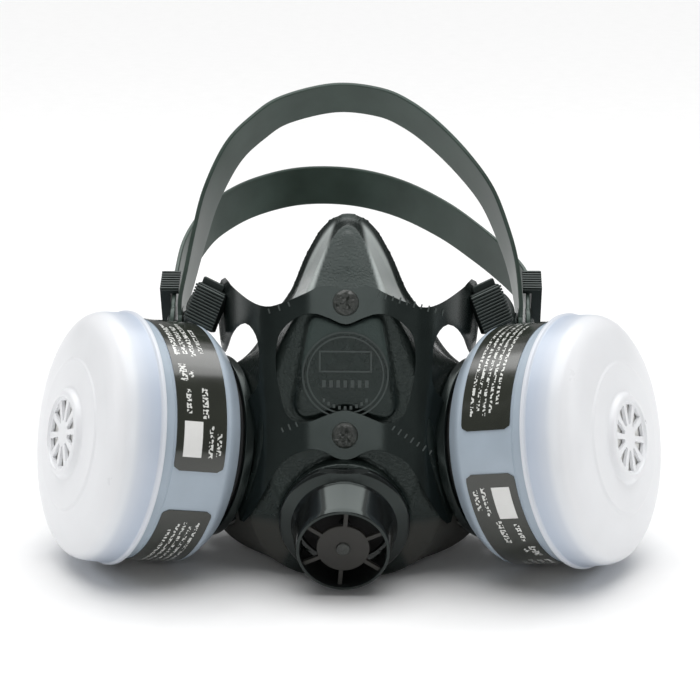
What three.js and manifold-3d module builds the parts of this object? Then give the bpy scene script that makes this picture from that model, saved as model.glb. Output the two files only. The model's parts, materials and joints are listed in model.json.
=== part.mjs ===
import * as THREE from "three";
import { mergeVertices } from "three/addons/utils/BufferGeometryUtils.js";
import Module from "manifold-3d";

// Half-mask respirator with two screw-in cartridges. Millimetres, +X to one cheek, +Y to the wearer, +Z up.
// It rests on the rims of its two filter covers and of its exhalation guard.

const wasm = await Module();
wasm.setup();

// ---------- driving dimensions ----------
const GAP = 0.3; // between neighbouring pieces
const ROUND = 36; // facets of a large turned piece
const SMALL_ROUND = 20;

// cartridge: measured along its outward axis from the shoulder of the filter cover
const COVER_CENTRE = [89.15, 0, 46.7];
const CARTRIDGE_YAW = 27; // degrees the outward axis turns forward
const CARTRIDGE_PITCH = 11.2; // degrees it rises
const COVER_R = 44.6;
const COVER_FLANGE_R = 45.5;
const COVER_SKIRT = 8.4; // depth of the skirt
const COVER_WALL = 1.3;
const BOSS_R = 15;
const BOSS_RISE = 13.4;
const INLET_COUNT = 10;
const BODY_R = 43;
const BODY_BACK = -39.5;
const BODY_SHOULDER = -33.7;
const BODY_BACK_R = 38;
const BODY_FRONT = -1.5;
const BODY_WALL = 1.6;
const NECK_R = 19.4;
const NECK_BORE_R = 16.6;
const NECK_END = -54;
const LID_HOLE_R = 1.7;
const LABEL_WIDTH = 18.6;
const LABEL_MIDDLE = -22.4;
const LABEL_THICK = 0.3;

// port where a cartridge joins the mask
const PORT_FACE = -45; // front of the yoke's port ring, on the cartridge axis
const PORT_RING_R = 33;
const PORT_RING_BORE_R = 25;
const PORT_PLATE = 2.2;
const PORT_WALL = 2.6; // rubber wall behind the ring

// cradle yoke
const YOKE_CENTRE = [0, -4.4, 72.9]; // on its front face
const YOKE_TILT = 14; // degrees it leans back
const YOKE_THICK = 2.2;
const YOKE_CREASE = 13; // half width of the flat middle
const YOKE_SLOPE = 0.13; // fall back of the side facets, for each mm past the crease
const YOKE_STRAIGHT = 26; // half width at which the ends begin to curve back
const YOKE_BEND = 0.0645; // they curve back by this times the squared distance past that
const STUD_HEIGHT = 23.2; // of each stud above and below the yoke's centre
const STUD_HEAD_R = 4.6;
const STUD_NECK_R = 2.4;

// exhalation outlet
const OUTLET_BASE = [0, -14.6, 20.6];
const OUTLET_PITCH = 15; // degrees its axis points down
const GUARD_LENGTH = 19.3;
const GUARD_BASE_R = 23;
const GUARD_RIM_R = 16.15;
const GUARD_WALL = 1.6;
const GUARD_SPOKES = 6;
const GUARD_HUB_R = 9.2;
const GUARD_SPOKE_START = 85; // degrees of the first spoke
const GRILLE_RECESS = 1.6;
const GUARD_FLAT = 21.3; // of the flat on top of the guard's base, above its axis
const GUARD_SHOULDER_R = 18.6; // where the base steps in to the cone
const VALVE_BORE_R = 17.4;

// head straps
const STRAP_WIDTH = 16;
const STRAP_THICK = 1.6;
const PIVOT = [57, 73]; // y and z of the axis both straps swing about
const PIVOT_PIN_R = 2.5;
const CROWN_X = 63.5;
const BACK_X = 66.5;
const CROWN_LEAN = [43, 84]; // run in y and rise in z of the crown strap's plane
const BACK_LEAN = [83, 40];
const CROWN_TWIST = -22; // degrees each band is turned about its own run, most at the top
const BACK_TWIST = -16;
const SLIDE_ALONG = { right: 17, left: 15.5 }; // from the pivot along the back strap

const CHIN_FOOT = -1.9; // height the chin is flattened at

const COLOURS = {
  rubber: 0x1d2421,
  strap: 0x343b37,
  plastic: 0x1a201d,
  gloss: 0x101211,
  canister: 0xa5b2be,
  cover: 0xeef1f3,
  felt: 0xf4f4f0,
  carbon: 0x191919,
  label: 0x23261e,
  valve: 0xd9c9a8,
};

// ---------- tools ----------
const radians = THREE.MathUtils.degToRad;
const V = (x, y, z) => new THREE.Vector3(x, y, z);

// a geometry as a manifold solid that faces out
function solid(geometry) {
  const g = geometry.clone();
  g.deleteAttribute("normal");
  g.deleteAttribute("uv");
  const merged = mergeVertices(g, 1e-4);
  const tris = new Uint32Array(merged.index.array);
  const p = merged.attributes.position;
  let six = 0;
  const corner = [V(), V(), V()];
  for (let i = 0; i < tris.length; i += 3) {
    corner.forEach((c, k) => c.fromBufferAttribute(p, tris[i + k]));
    six += corner[0].dot(corner[1].clone().cross(corner[2]));
  }
  if (six < 0) {
    for (let i = 0; i < tris.length; i += 3) {
      [tris[i + 1], tris[i + 2]] = [tris[i + 2], tris[i + 1]];
    }
  }
  return new wasm.Manifold(
    new wasm.Mesh({ numProp: 3, vertProperties: new Float32Array(p.array), triVerts: tris }),
  );
}

function geometryOf(body) {
  const m = body.getMesh();
  const xyz = new Float32Array(m.numVert * 3);
  for (let i = 0; i < m.numVert; i++) {
    xyz.set(m.vertProperties.subarray(i * m.numProp, i * m.numProp + 3), i * 3);
  }
  const g = new THREE.BufferGeometry();
  g.setAttribute("position", new THREE.BufferAttribute(xyz, 3));
  g.setIndex(new THREE.BufferAttribute(new Uint32Array(m.triVerts), 1));
  g.computeVertexNormals();
  return g;
}

// facets this much finer than the shape needs are merged away
const FINEST = 0.02;

function piece(name, body, colour) {
  const material = new THREE.MeshStandardMaterial({ color: COLOURS[colour], flatShading: true });
  const rounded = solid(geometryOf(body.simplify(FINEST)));
  const main = rounded.decompose().reduce((most, each) => (each.volume() > most.volume() ? each : most));
  const mesh = new THREE.Mesh(geometryOf(main), material);
  mesh.name = name;
  return mesh;
}

// a closed profile of [radius, height] turned about local Z
function turned(profile, facets = ROUND) {
  const points = profile.map(([r, h]) => new THREE.Vector2(r, h));
  const onAxis = profile[0][0] === 0 && profile[profile.length - 1][0] === 0;
  if (!onAxis) points.push(points[0].clone());
  return solid(new THREE.LatheGeometry(points, facets).rotateX(Math.PI / 2));
}

const rod = (r, low, high, facets = SMALL_ROUND) =>
  turned([[0, low], [r, low], [r, high], [0, high]], facets);

// a surface through rings of points, closed by a fan at each end
function loft(rings) {
  const n = rings[0].length;
  const xyz = [];
  const index = [];
  rings.forEach((ring) => ring.forEach((p) => xyz.push(p.x, p.y, p.z)));
  for (let j = 0; j < rings.length - 1; j++) {
    for (let i = 0; i < n; i++) {
      const a = j * n + i;
      const b = j * n + ((i + 1) % n);
      index.push(a, b, b + n, a, b + n, a + n);
    }
  }
  [[0, false], [rings.length - 1, true]].forEach(([j, last]) => {
    const centre = rings[j].reduce((sum, p) => sum.add(p), V(0, 0, 0)).divideScalar(n);
    const c = xyz.length / 3;
    xyz.push(centre.x, centre.y, centre.z);
    for (let i = 0; i < n; i++) {
      const a = j * n + i;
      const b = j * n + ((i + 1) % n);
      index.push(...(last ? [a, b, c] : [b, a, c]));
    }
  });
  const g = new THREE.BufferGeometry();
  g.setAttribute("position", new THREE.Float32BufferAttribute(xyz, 3));
  g.setIndex(index);
  return solid(g);
}

// a box given by its size, then placed
function block(size, place = new THREE.Matrix4()) {
  return solid(new THREE.BoxGeometry(...size).applyMatrix4(place));
}

// body with room for its neighbour all round, keeping the biggest piece left
function clearOf(body, other) {
  let left = body;
  [V(1, 0, 0), V(0, 1, 0), V(0, 0, 1)].forEach((axis) => {
    [-GAP, 0, GAP].forEach((shift) => {
      left = left.subtract(other.translate(...axis.clone().multiplyScalar(shift).toArray()));
    });
  });
  return left.decompose().sort((a, b) => b.volume() - a.volume())[0];
}

const placed = (body, matrix) => body.transform(matrix.elements);

function frame(origin, x, y, z) {
  return new THREE.Matrix4().makeBasis(x, y, z).setPosition(...origin);
}

// mirrors half an outline of [x, y] pairs, listed from the axis round to the axis, into a closed one
function mirrored(half) {
  const other = half.slice(1, -1).reverse().map(([x, y]) => [-x, y]);
  return half.concat(other);
}

function smoothOutline(points, count) {
  const curve = new THREE.CatmullRomCurve3(points.map(([x, y]) => V(x, y, 0)), true, "centripetal");
  return curve.getSpacedPoints(count).slice(0, count).map((p) => new THREE.Vector2(p.x, p.y));
}

// a flat plate from an outline, from z = low to z = high
function plate(outline, low, high) {
  const shape = new THREE.Shape(outline);
  const g = new THREE.ExtrudeGeometry(shape, { depth: high - low, bevelEnabled: false });
  return solid(g.translate(0, 0, low));
}

// ---------- frames ----------
const yaw = radians(CARTRIDGE_YAW);
const pitch = radians(CARTRIDGE_PITCH);
const axisOut = V(Math.cos(pitch) * Math.cos(yaw), -Math.cos(pitch) * Math.sin(yaw), Math.sin(pitch));
const axisBack = V(0, 0, 1).cross(axisOut).normalize();
const axisUp = axisOut.clone().cross(axisBack);
const cartridgeFrame = frame(COVER_CENTRE, axisBack, axisUp, axisOut);

const tilt = radians(YOKE_TILT);
const yokeOut = V(0, -Math.cos(tilt), Math.sin(tilt));
const yokeUp = V(0, Math.sin(tilt), Math.cos(tilt));
const yokeFrame = frame(YOKE_CENTRE, V(1, 0, 0), yokeUp, yokeOut);

const dip = radians(OUTLET_PITCH);
const outletOut = V(0, -Math.cos(dip), -Math.sin(dip));
const outletUp = V(0, -Math.sin(dip), Math.cos(dip));
const outletFrame = frame(OUTLET_BASE, V(1, 0, 0), outletUp, outletOut);

const mirrorX = new THREE.Matrix4().makeScale(-1, 1, 1);

const root = new THREE.Group();
root.name = "respirator";

// ---------- cartridge pieces, each in the cartridge frame ----------
function filterCover() {
  const shell = turned([
    [0, BOSS_RISE - 1.2], [BOSS_R - 2, BOSS_RISE - 1.2], [BOSS_R - 1.6, BOSS_RISE],
    [BOSS_R, BOSS_RISE], [BOSS_R + 0.9, BOSS_RISE - 2.6], [24, 10.7], [34, 9.3], [39.6, 7.6],
    [43, 5], [COVER_R - 0.3, 1.8], [COVER_R + 0.1, -COVER_SKIRT + 1.9],
    [COVER_FLANGE_R, -COVER_SKIRT + 1.3],
    [COVER_FLANGE_R, -COVER_SKIRT], [BODY_R + GAP, -COVER_SKIRT], [BODY_R + GAP, 0.6],
    [41.6, 3.6], [38.4, 6.2], [33.6, 7.6], [24, 8.9], [0, BOSS_RISE - 4.4],
  ]);
  const cutters = [];
  for (let i = 0; i < INLET_COUNT; i++) {
    const turn = new THREE.Matrix4().makeRotationZ((i * 2 * Math.PI) / INLET_COUNT);
    const half = Math.PI / INLET_COUNT - 0.1;
    const wedge = [
      [4.6, -half * 0.6], [BOSS_R - 3, -half], [BOSS_R - 3, half], [4.6, half * 0.6],
    ].map(([r, a]) => new THREE.Vector2(r * Math.cos(a), r * Math.sin(a)));
    cutters.push(placed(plate(wedge, BOSS_RISE - 8, BOSS_RISE + 4), turn));
  }
  return cutters.reduce((sum, cutter) => sum.subtract(cutter), shell);
}

function filterPad() {
  return turned([
    [0, -0.3], [41.9, -0.3], [41.6, 0.9], [38.4, 3.8], [32.3, 6.9], [24, 8.5], [0, 8.7],
  ]);
}

function cartridgeBody() {
  return turned([
    [BODY_R, BODY_FRONT], [BODY_R, BODY_SHOULDER], [BODY_BACK_R, BODY_BACK], [NECK_R + 2.4, BODY_BACK],
    [NECK_R, BODY_BACK - 1.6], [NECK_R, -47], [NECK_R - 0.9, -48], [NECK_R - 0.9, -50], [NECK_R, -51],
    [NECK_R, NECK_END], [NECK_BORE_R, NECK_END], [NECK_BORE_R, BODY_BACK + BODY_WALL],
    [BODY_BACK_R - 1.2, BODY_BACK + BODY_WALL], [BODY_R - BODY_WALL, BODY_SHOULDER + 0.6],
    [BODY_R - BODY_WALL, BODY_FRONT],
  ]);
}

function cartridgeLid() {
  let lid = rod(BODY_R - BODY_WALL - GAP, -3.6, -2, ROUND);
  [[6, 10], [12, 20], [18, 30.5]].forEach(([count, r]) => {
    for (let i = 0; i < count; i++) {
      const a = (i * 2 * Math.PI) / count;
      const hole = rod(LID_HOLE_R, -5, 0, 6);
      lid = lid.subtract(hole.translate(r * Math.cos(a), r * Math.sin(a), 0));
    }
  });
  return lid;
}

function carbonBed() {
  const r = BODY_R - BODY_WALL - GAP;
  return turned([
    [0, -36.8], [BODY_BACK_R - 3, -36.8], [r, -32.6], [r, -4], [0, -4],
  ]);
}

function gasket() {
  return turned([
    [NECK_R + 3, PORT_FACE + GAP], [30.4, PORT_FACE + GAP], [31, -43.6], [30.4, BODY_BACK - GAP],
    [NECK_R + 3, BODY_BACK - GAP],
  ]);
}

// a label wraps part of the body: angles run from straight up towards the front
function label(fromDegrees, toDegrees) {
  const step = 360 / ROUND;
  const count = Math.round((toDegrees - fromDegrees) / step);
  const inner = BODY_R + 0.15;
  const outer = inner + LABEL_THICK;
  const low = LABEL_MIDDLE - LABEL_WIDTH / 2;
  const high = LABEL_MIDDLE + LABEL_WIDTH / 2;
  const rings = [];
  for (let i = 0; i <= count; i++) {
    const a = radians(fromDegrees + i * step);
    const at = (r, h) => V(-r * Math.sin(a), r * Math.cos(a), h);
    rings.push([at(inner, low), at(outer, low), at(outer, high), at(inner, high)]);
  }
  return loft(rings);
}

function portConnector() {
  const tube = turned([
    [NECK_R + 0.4, PORT_FACE], [PORT_RING_BORE_R - GAP, PORT_FACE],
    [PORT_RING_BORE_R - GAP, -50.7], [28.5, -50.7], [28.5, -52.4], [24, -53.2], [23.4, -56.8],
    [NECK_R + 0.4, -56.8],
  ]);
  let web = rod(4.2, -56.8, -55.2);
  for (let i = 0; i < 4; i++) {
    const turn = new THREE.Matrix4().makeRotationZ((i * Math.PI) / 4);
    web = web.add(placed(block([2 * (NECK_R + 1.5), 2, 1.6]), turn.setPosition(0, 0, -56)));
  }
  const nub = turned([[0, -60.6], [2.2, -60.6], [2.2, -59.6], [1.3, -59.4], [1.3, -56], [0, -56]], 16);
  return tube.add(web).add(nub);
}

function inhalationFlap() {
  return turned([[1.7, -57.9], [21, -57.9], [21, -57.1], [1.7, -57.1]], 36);
}

// ---------- strap hardware ----------
// the ribbed tab at the end of a yoke arm, with a link back to the strap pivot
function strapBuckle() {
  const out = V(0.42, -0.88, 0.22).normalize();
  const up = V(-0.36, 0.06, 0.93);
  up.addScaledVector(out, -up.dot(out)).normalize();
  const side = up.clone().cross(out);
  const tab = frame([51.4, 29.6, 87], side, up, out);
  let body = placed(block([12.5, 15, 3.4]), tab);
  const ribs = 12;
  for (let i = 0; i < ribs; i++) {
    const at = new THREE.Matrix4().makeTranslation(0, (i - (ribs - 1) / 2) * 1.16, 1.9);
    body = body.add(placed(block([11.6, 0.6, 1.2], at), tab));
  }
  const top = new THREE.Matrix4().makeTranslation(1.2, 8.2, -1);
  body = body.add(placed(block([9.5, 3.4, 1.6], top), tab));
  const path = [[49.6, 28.6, 88], [53, 35, 87.5], [57, 42, 84.5], [60, 49.5, 79], [61, PIVOT[0], PIVOT[1]]];
  const curve = new THREE.CatmullRomCurve3(path.map((p) => V(...p)));
  const rings = [];
  const steps = 10;
  for (let i = 0; i <= steps; i++) {
    const p = curve.getPoint(i / steps);
    const along = curve.getTangent(i / steps);
    const flat = V(1, 0, 0).addScaledVector(along, -along.x).normalize();
    const wide = along.clone().cross(flat);
    const h = 5;
    const t = 1.1;
    rings.push([[-t, -h], [t, -h], [t, h], [-t, h]].map(([a, b]) =>
      p.clone().addScaledVector(flat, a).addScaledVector(wide, b)));
  }
  body = body.add(loft(rings));
  const across = frame([0, PIVOT[0], PIVOT[1]], V(0, 1, 0), V(0, 0, 1), V(1, 0, 0));
  const shoulder = CROWN_X - STRAP_THICK / 2 - GAP;
  const head = BACK_X + STRAP_THICK / 2 + GAP;
  const pin = turned([
    [0, 59.6], [6.2, 59.6], [6.2, shoulder], [PIVOT_PIN_R, shoulder], [PIVOT_PIN_R, head], [4.4, head],
    [4.4, BACK_X + 1.9], [3.4, BACK_X + 2.4], [0, BACK_X + 2.4],
  ]);
  return body.add(placed(pin, across));
}

// a flat rubber band swept along a path in its own leaning plane
function strap(path, lean, x, twist) {
  const rise = V(0, ...lean).normalize();
  const wide = V(0, -rise.z, rise.y);
  const origin = V(0, ...PIVOT);
  const at = ([across, along]) => origin.clone().addScaledVector(rise, along).add(V(across, 0, 0));
  const curve = new THREE.CatmullRomCurve3(path.map(at), false, "centripetal");
  const steps = 34;
  const rings = [];
  for (let i = 0; i <= steps; i++) {
    const p = curve.getPointAt(i / steps);
    const along = curve.getTangentAt(i / steps);
    if (i === 0) along.copy(rise);
    if (i === steps) along.copy(rise).negate();
    const turn = radians(twist) * Math.sin((Math.PI * i) / steps);
    const flat = wide.clone().cross(along).normalize().applyAxisAngle(along, turn);
    const across = wide.clone().applyAxisAngle(along, turn);
    const t = STRAP_THICK / 2;
    const h = STRAP_WIDTH / 2;
    rings.push([[-t, -h], [t, -h], [t, h], [-t, h]].map(([a, b]) =>
      p.clone().addScaledVector(flat, a).addScaledVector(across, b)));
  }
  let body = loft(rings);
  [-1, 1].forEach((side) => {
    const across = frame([side * x, ...PIVOT], V(0, 1, 0), V(0, 0, 1), V(1, 0, 0));
    const eye = rod(STRAP_WIDTH / 2, -STRAP_THICK / 2, STRAP_THICK / 2);
    const hole = rod(PIVOT_PIN_R + GAP, -3, 3);
    body = body.add(placed(eye, across)).subtract(placed(hole, across));
  });
  return body;
}

// the wedge that grips the back strap and sets its length
function strapSlide(along) {
  const rise = V(0, ...BACK_LEAN).normalize();
  const wide = V(0, -rise.z, rise.y);
  const centre = V(BACK_X, ...PIVOT).addScaledVector(rise, along);
  const place = frame(centre.toArray(), V(1, 0, 0), wide, rise);
  const outward = 1.7; // the body sits mostly outside the strap
  const room = new THREE.Matrix4().makeTranslation(outward, 0, 0);
  let body = placed(block([6.6, 20, 12], room), place);
  const ribs = 8;
  for (let i = 0; i < ribs; i++) {
    const at = new THREE.Matrix4().makeTranslation(outward + 0.3, 0, (i - (ribs - 1) / 2) * 1.4);
    body = body.add(placed(block([7.2, 21, 0.7], at), place));
  }
  return body.subtract(placed(block([STRAP_THICK + 1.9, STRAP_WIDTH + 0.8, 20]), place));
}

// ---------- yoke ----------
function yoke() {
  const outline = mirrored([
    [0, 28.2], [4, 28.6], [7.6, 29.2], [10.5, 28.5], [13.3, 26.9], [22, 23.2], [28, 21.8], [34, 23.8],
    [41.4, 29.2], [44.5, 32.6], [47, 31], [47.8, 25], [47.4, 16], [46.4, 9], [44.8, 5.4], [43.2, 7.4],
    [41.4, 11.8], [38.4, 15.2], [35, 15.6], [31.6, 11], [30.4, 3], [31, -6], [35.6, -13], [37.6, -26],
    [38.4, -40], [37.6, -54], [33.6, -52], [28.2, -43], [24.6, -36.6], [21.6, -32.4], [16, -29.3],
    [10.8, -28.1], [6.4, -29.3], [3.4, -31], [0, -31.8],
  ]);
  const opening = mirrored([
    [0, 15.7], [6, 17.9], [11, 19.4], [16, 18.6], [21, 15.2], [23.8, 11], [24.5, 5], [24.4, 0],
    [23.3, -7.5], [21.8, -13.4], [19.4, -17.5], [15.5, -19.1], [12, -18.5], [6.4, -16.2], [0, -14.5],
  ]);
  let flat = plate(smoothOutline(outline, 90), -YOKE_THICK, 0);
  flat = flat.subtract(plate(smoothOutline(opening, 50), -YOKE_THICK - 1, 1));
  [-1, 1].forEach((side) => {
    flat = flat.subtract(rod(STUD_NECK_R + GAP, -5, 5, 16).translate(0, side * STUD_HEIGHT, 0));
  });
  const bent = flat.refineToLength(8).warp((p) => {
    const past = Math.max(0, Math.abs(p[0]) - YOKE_CREASE);
    const far = Math.max(0, Math.abs(p[0]) - YOKE_STRAIGHT);
    p[2] -= YOKE_SLOPE * past + YOKE_BEND * far * far;
  });
  let body = placed(bent, yokeFrame);
  const ring = turned([
    [PORT_RING_BORE_R, PORT_FACE - PORT_PLATE], [PORT_RING_R, PORT_FACE - PORT_PLATE],
    [PORT_RING_R, PORT_FACE + 1], [PORT_RING_R - 1.6, PORT_FACE + 1], [PORT_RING_R - 1.6, PORT_FACE],
    [PORT_RING_BORE_R, PORT_FACE],
  ]);
  const clear = rod(PORT_RING_R - 1.6, PORT_FACE, 0, ROUND);
  const bore = rod(PORT_RING_BORE_R, -70, 0, ROUND);
  const rightRing = placed(ring, cartridgeFrame);
  const rightClear = placed(clear.add(bore), cartridgeFrame);
  [new THREE.Matrix4(), mirrorX].forEach((side) => {
    body = body.subtract(placed(rightClear, side)).add(placed(rightRing, side));
  });
  return body;
}

function stud(height, lift) {
  const head = turned([
    [0, -YOKE_THICK - lift], [STUD_NECK_R, -YOKE_THICK - lift], [STUD_NECK_R, GAP], [STUD_HEAD_R, GAP],
    [STUD_HEAD_R, 1.5], [STUD_HEAD_R - 0.8, 2.2], [0, 2.4],
  ], 24);
  return placed(head.translate(0, height, 0), yokeFrame);
}

// ---------- facepiece ----------
// half outlines from the chin round the cheek to the nose: [x, y, z]
const FACE_RINGS = [
  [[0, 38, 2], [20, 44, 3.5], [38, 56, 13], [50, 66, 32], [49, 67, 47], [40, 62, 59], [32, 58, 68],
    [21, 50, 84], [16.5, 45.5, 93], [11.4, 41, 106], [6, 37.5, 115.6], [0, 35.5, 119]],
  [[0, 24, -2], [26, 29, -1.5], [50, 42, 8], [62.5, 50, 32], [59, 50, 48], [44, 48, 60], [35.8, 46, 68],
    [26, 43, 84.4], [21.3, 39.5, 92], [15.6, 36.5, 106], [8.4, 35, 117.6], [0, 34, 121.6]],
  [[0, 5, -2.6], [25, 9, -2], [46, 17, 7], [52, 20, 32], [50, 20.5, 50], [47, 21.5, 60], [42, 22, 67],
    [33, 22.5, 73], [24, 25, 83], [18.6, 27.5, 92], [13.2, 29.5, 104], [7, 31, 114.6], [0, 31, 119.4]],
  [[0, -9, -2], [17, -8, -1], [30, -7, 9], [36, -8, 32], [33.5, -5, 54], [25, 0, 76], [16.4, 4.2, 93],
    [10.8, 12.5, 104.6], [5.8, 21.5, 114], [0, 26, 118.4]],
  [[0, -15, 8], [11, -15, 10], [20, -14.5, 18], [23, -13, 34], [21, -9, 54], [17, -4, 73], [14, 2.6, 92.6],
    [9.2, 11.4, 103.2], [4.8, 20.4, 112.4], [0, 24.4, 116.6]],
];
const RIDGE_CROWN = 1.6; // the front bulges forward by this along its middle
const RIDGE_NARROW = 0.1; // width of the ridge ring against the ring before it

// closed rings through a set of half outlines, each pulled in by an inset
function faceRings(inset, backOut) {
  const samples = 20;
  const rings = FACE_RINGS.map((half, j) => {
    const points = half.map((p) => V(...p));
    const whole = points.concat(points.slice(1, -1).reverse().map((p) => V(-p.x, p.y, p.z)));
    const curve = new THREE.CatmullRomCurve3(whole, true, "centripetal");
    const right = curve.getSpacedPoints(2 * samples).slice(0, samples + 1);
    right[0].x = 0;
    right[samples].x = 0;
    const ring = right.concat(right.slice(1, -1).reverse().map((p) => V(-p.x, p.y, p.z)));
    const middle = V(0, ring.reduce((s, p) => s + p.y, 0) / ring.length, 58);
    return ring.map((p) => {
      const inward = V(middle.x - p.x, 0, middle.z - p.z).normalize();
      const moved = p.clone().addScaledVector(inward, inset);
      if (j === 0) moved.y += backOut;
      if (j === FACE_RINGS.length - 1) moved.y += inset;
      return moved;
    });
  });
  const front = rings[rings.length - 1];
  rings.push(front.map((p) => V(p.x * RIDGE_NARROW, p.y - RIDGE_CROWN, p.z)));
  return rings;
}

function facepiece() {
  const wall = 2.6;
  const keepBehindYoke = placed(block([200, 300, 100]), yokeFrame.clone().multiply(
    new THREE.Matrix4().makeTranslation(0, 0, -YOKE_THICK - GAP + 50)));
  const cutRight = placed(rod(60, PORT_FACE - PORT_PLATE - GAP, 30, ROUND), cartridgeFrame);
  const innerRight = placed(rod(60, PORT_FACE - PORT_PLATE - GAP - PORT_WALL, 30, ROUND), cartridgeFrame);
  let outer = loft(faceRings(0, 0)).subtract(keepBehindYoke);
  let inner = loft(faceRings(wall, 6)).subtract(keepBehindYoke.translate(0, wall, 0));
  [new THREE.Matrix4(), mirrorX].forEach((side) => {
    outer = outer.subtract(placed(cutRight, side));
    inner = inner.subtract(placed(innerRight, side));
  });
  const boss = placed(turned([
    [0, -14], [19, -14], [21, -6], [GUARD_BASE_R - 0.6, -2], [GUARD_BASE_R - 0.6, -GAP], [0, -GAP],
  ]), outletFrame);
  const padOutline = mirrored([
    [0, 14.6], [6, 16.6], [10.6, 17.8], [14, 12], [17.6, -4], [19.4, -13], [15, -17], [10, -16.4],
    [0, -13.2],
  ]);
  const pad = placed(plate(smoothOutline(padOutline, 48), -YOKE_THICK - 6, -0.7), yokeFrame);
  const emblem = placed(turned([[12.6, -1], [14, -1], [14, -0.2], [12.6, -0.2]], 40).translate(0, -2.4, 0),
    yokeFrame);
  let body = outer.add(boss).add(pad).add(emblem).subtract(inner);
  const guardRoom = rod(GUARD_BASE_R + 2 * GAP, -GAP, 30, ROUND);
  body = body.subtract(placed(rod(VALVE_BORE_R, -30, 5).add(guardRoom), outletFrame));
  const flangeRoom = rod(29, -61, PORT_FACE - PORT_PLATE - GAP - PORT_WALL, ROUND);
  const portBore = placed(rod(PORT_RING_BORE_R, -62, 30, ROUND).add(flangeRoom), cartridgeFrame);
  [new THREE.Matrix4(), mirrorX].forEach((side) => {
    body = body.subtract(placed(portBore, side));
  });
  const below = block([300, 300, 20], new THREE.Matrix4().makeTranslation(0, 0, CHIN_FOOT - 10));
  return body.subtract(below);
}

// ---------- exhalation pieces, in the outlet frame ----------
function exhalationGuard() {
  const rimInner = GUARD_RIM_R - GUARD_WALL;
  const outer = turned([
    [0, 0], [GUARD_BASE_R, 0], [GUARD_BASE_R, 2.4], [GUARD_BASE_R - 0.8, 3], [GUARD_SHOULDER_R, 4.4],
    [GUARD_RIM_R + 0.3, GUARD_LENGTH - 2], [GUARD_RIM_R, GUARD_LENGTH], [0, GUARD_LENGTH],
  ]);
  const inner = turned([
    [0, -1], [GUARD_BASE_R - 3.4, -1], [GUARD_BASE_R - 3.4, 1.2],
    [GUARD_SHOULDER_R - GUARD_WALL - 0.2, 3.2],
    [rimInner, GUARD_LENGTH - 4], [rimInner, GUARD_LENGTH + 1], [0, GUARD_LENGTH + 1],
  ]);
  const aboveFlat = block([80, 40, 80], new THREE.Matrix4().makeTranslation(0, GUARD_FLAT + 20, 9));
  const shell = outer.subtract(aboveFlat).subtract(inner);
  const grilleHigh = GUARD_LENGTH - GRILLE_RECESS;
  const nub = rod(2.6, grilleHigh - 1, grilleHigh + 0.7);
  let grille = rod(GUARD_HUB_R, grilleHigh - 1.6, grilleHigh).add(nub);
  for (let i = 0; i < GUARD_SPOKES; i++) {
    const a = radians(GUARD_SPOKE_START + (i * 360) / GUARD_SPOKES);
    const spoke = block([rimInner - GUARD_HUB_R + 2.4, 1.5, 1.6],
      new THREE.Matrix4().makeTranslation((rimInner + GUARD_HUB_R) / 2, 0, grilleHigh - 0.8));
    grille = grille.add(placed(spoke, new THREE.Matrix4().makeRotationZ(a)));
  }
  return placed(shell.add(grille), outletFrame);
}

function exhalationSeat() {
  let seat = turned([
    [VALVE_BORE_R - GAP - 3, -4], [VALVE_BORE_R - GAP, -4], [VALVE_BORE_R - GAP, -0.6],
    [VALVE_BORE_R - GAP - 3, -0.6],
  ]);
  for (let i = 0; i < 3; i++) {
    const turn = new THREE.Matrix4().makeRotationZ((i * Math.PI) / 3).setPosition(0, 0, -2.6);
    seat = seat.add(placed(block([2 * VALVE_BORE_R - 3, 1.8, 2], new THREE.Matrix4()), turn));
  }
  return seat.add(rod(3, -3.6, -1.6)).add(rod(1.2, -2, 2.6, 14)).add(rod(2, 1.8, 2.6, 14));
}

function exhalationFlap() {
  return turned([[1.5, -0.3], [15.8, -0.3], [15.8, 0.5], [1.5, 0.5]], 36);
}

// ---------- assembly ----------
const LABELS = {
  right: { upper: [-60, 70], lower: [90, 240] },
  left: { upper: [-60, 90], lower: [110, 250] },
};

const yokeBody = yoke();
["right", "left"].forEach((side) => {
  const half = new THREE.Group();
  if (side === "left") half.scale.x = -1;
  const cartridge = new THREE.Group();
  cartridge.applyMatrix4(cartridgeFrame);
  cartridge.add(
    piece(side + "_filter_cover", filterCover(), "cover"),
    piece(side + "_filter_pad", filterPad(), "felt"),
    piece(side + "_cartridge_lid", cartridgeLid(), "canister"),
    piece(side + "_carbon_bed", carbonBed(), "carbon"),
    piece(side + "_cartridge_body", cartridgeBody(), "canister"),
    piece(side + "_connector_gasket", gasket(), "rubber"),
    piece(side + "_label_upper", label(...LABELS[side].upper), "label"),
    piece(side + "_label_lower", label(...LABELS[side].lower), "label"),
    piece(side + "_port_connector", portConnector(), "plastic"),
    piece(side + "_inhalation_flap", inhalationFlap(), "valve"),
  );
  half.add(
    cartridge,
    piece(side + "_strap_buckle", clearOf(strapBuckle(), yokeBody), "plastic"),
    piece(side + "_strap_slide", strapSlide(SLIDE_ALONG[side]), "plastic"),
  );
  root.add(half);
});

const CROWN_PATH = [
  [-CROWN_X, 0], [-63.4, 9], [-61.2, 20], [-58, 35.5], [-53.8, 52], [-46, 69], [-36.4, 79.4], [-26, 86.5],
  [-7, 91.3], [10, 89.6], [21, 84.6], [31.5, 76.4], [42.5, 64.8], [51.6, 52], [57.7, 37], [61.4, 24],
  [63.4, 10], [CROWN_X, 0],
];
const BACK_PATH = [
  [-BACK_X, 0], [-BACK_X, 12], [-66.4, 24], [-64.8, 43], [-60.5, 58.5], [-54.7, 69.8], [-43.2, 81.8],
  [-27.4, 90], [-12, 92.1], [4, 89.5], [20, 81.7], [35.9, 68.3], [48.2, 53.8], [57.5, 41], [64, 30],
  [66.4, 22], [BACK_X, 12], [BACK_X, 0],
];

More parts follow.
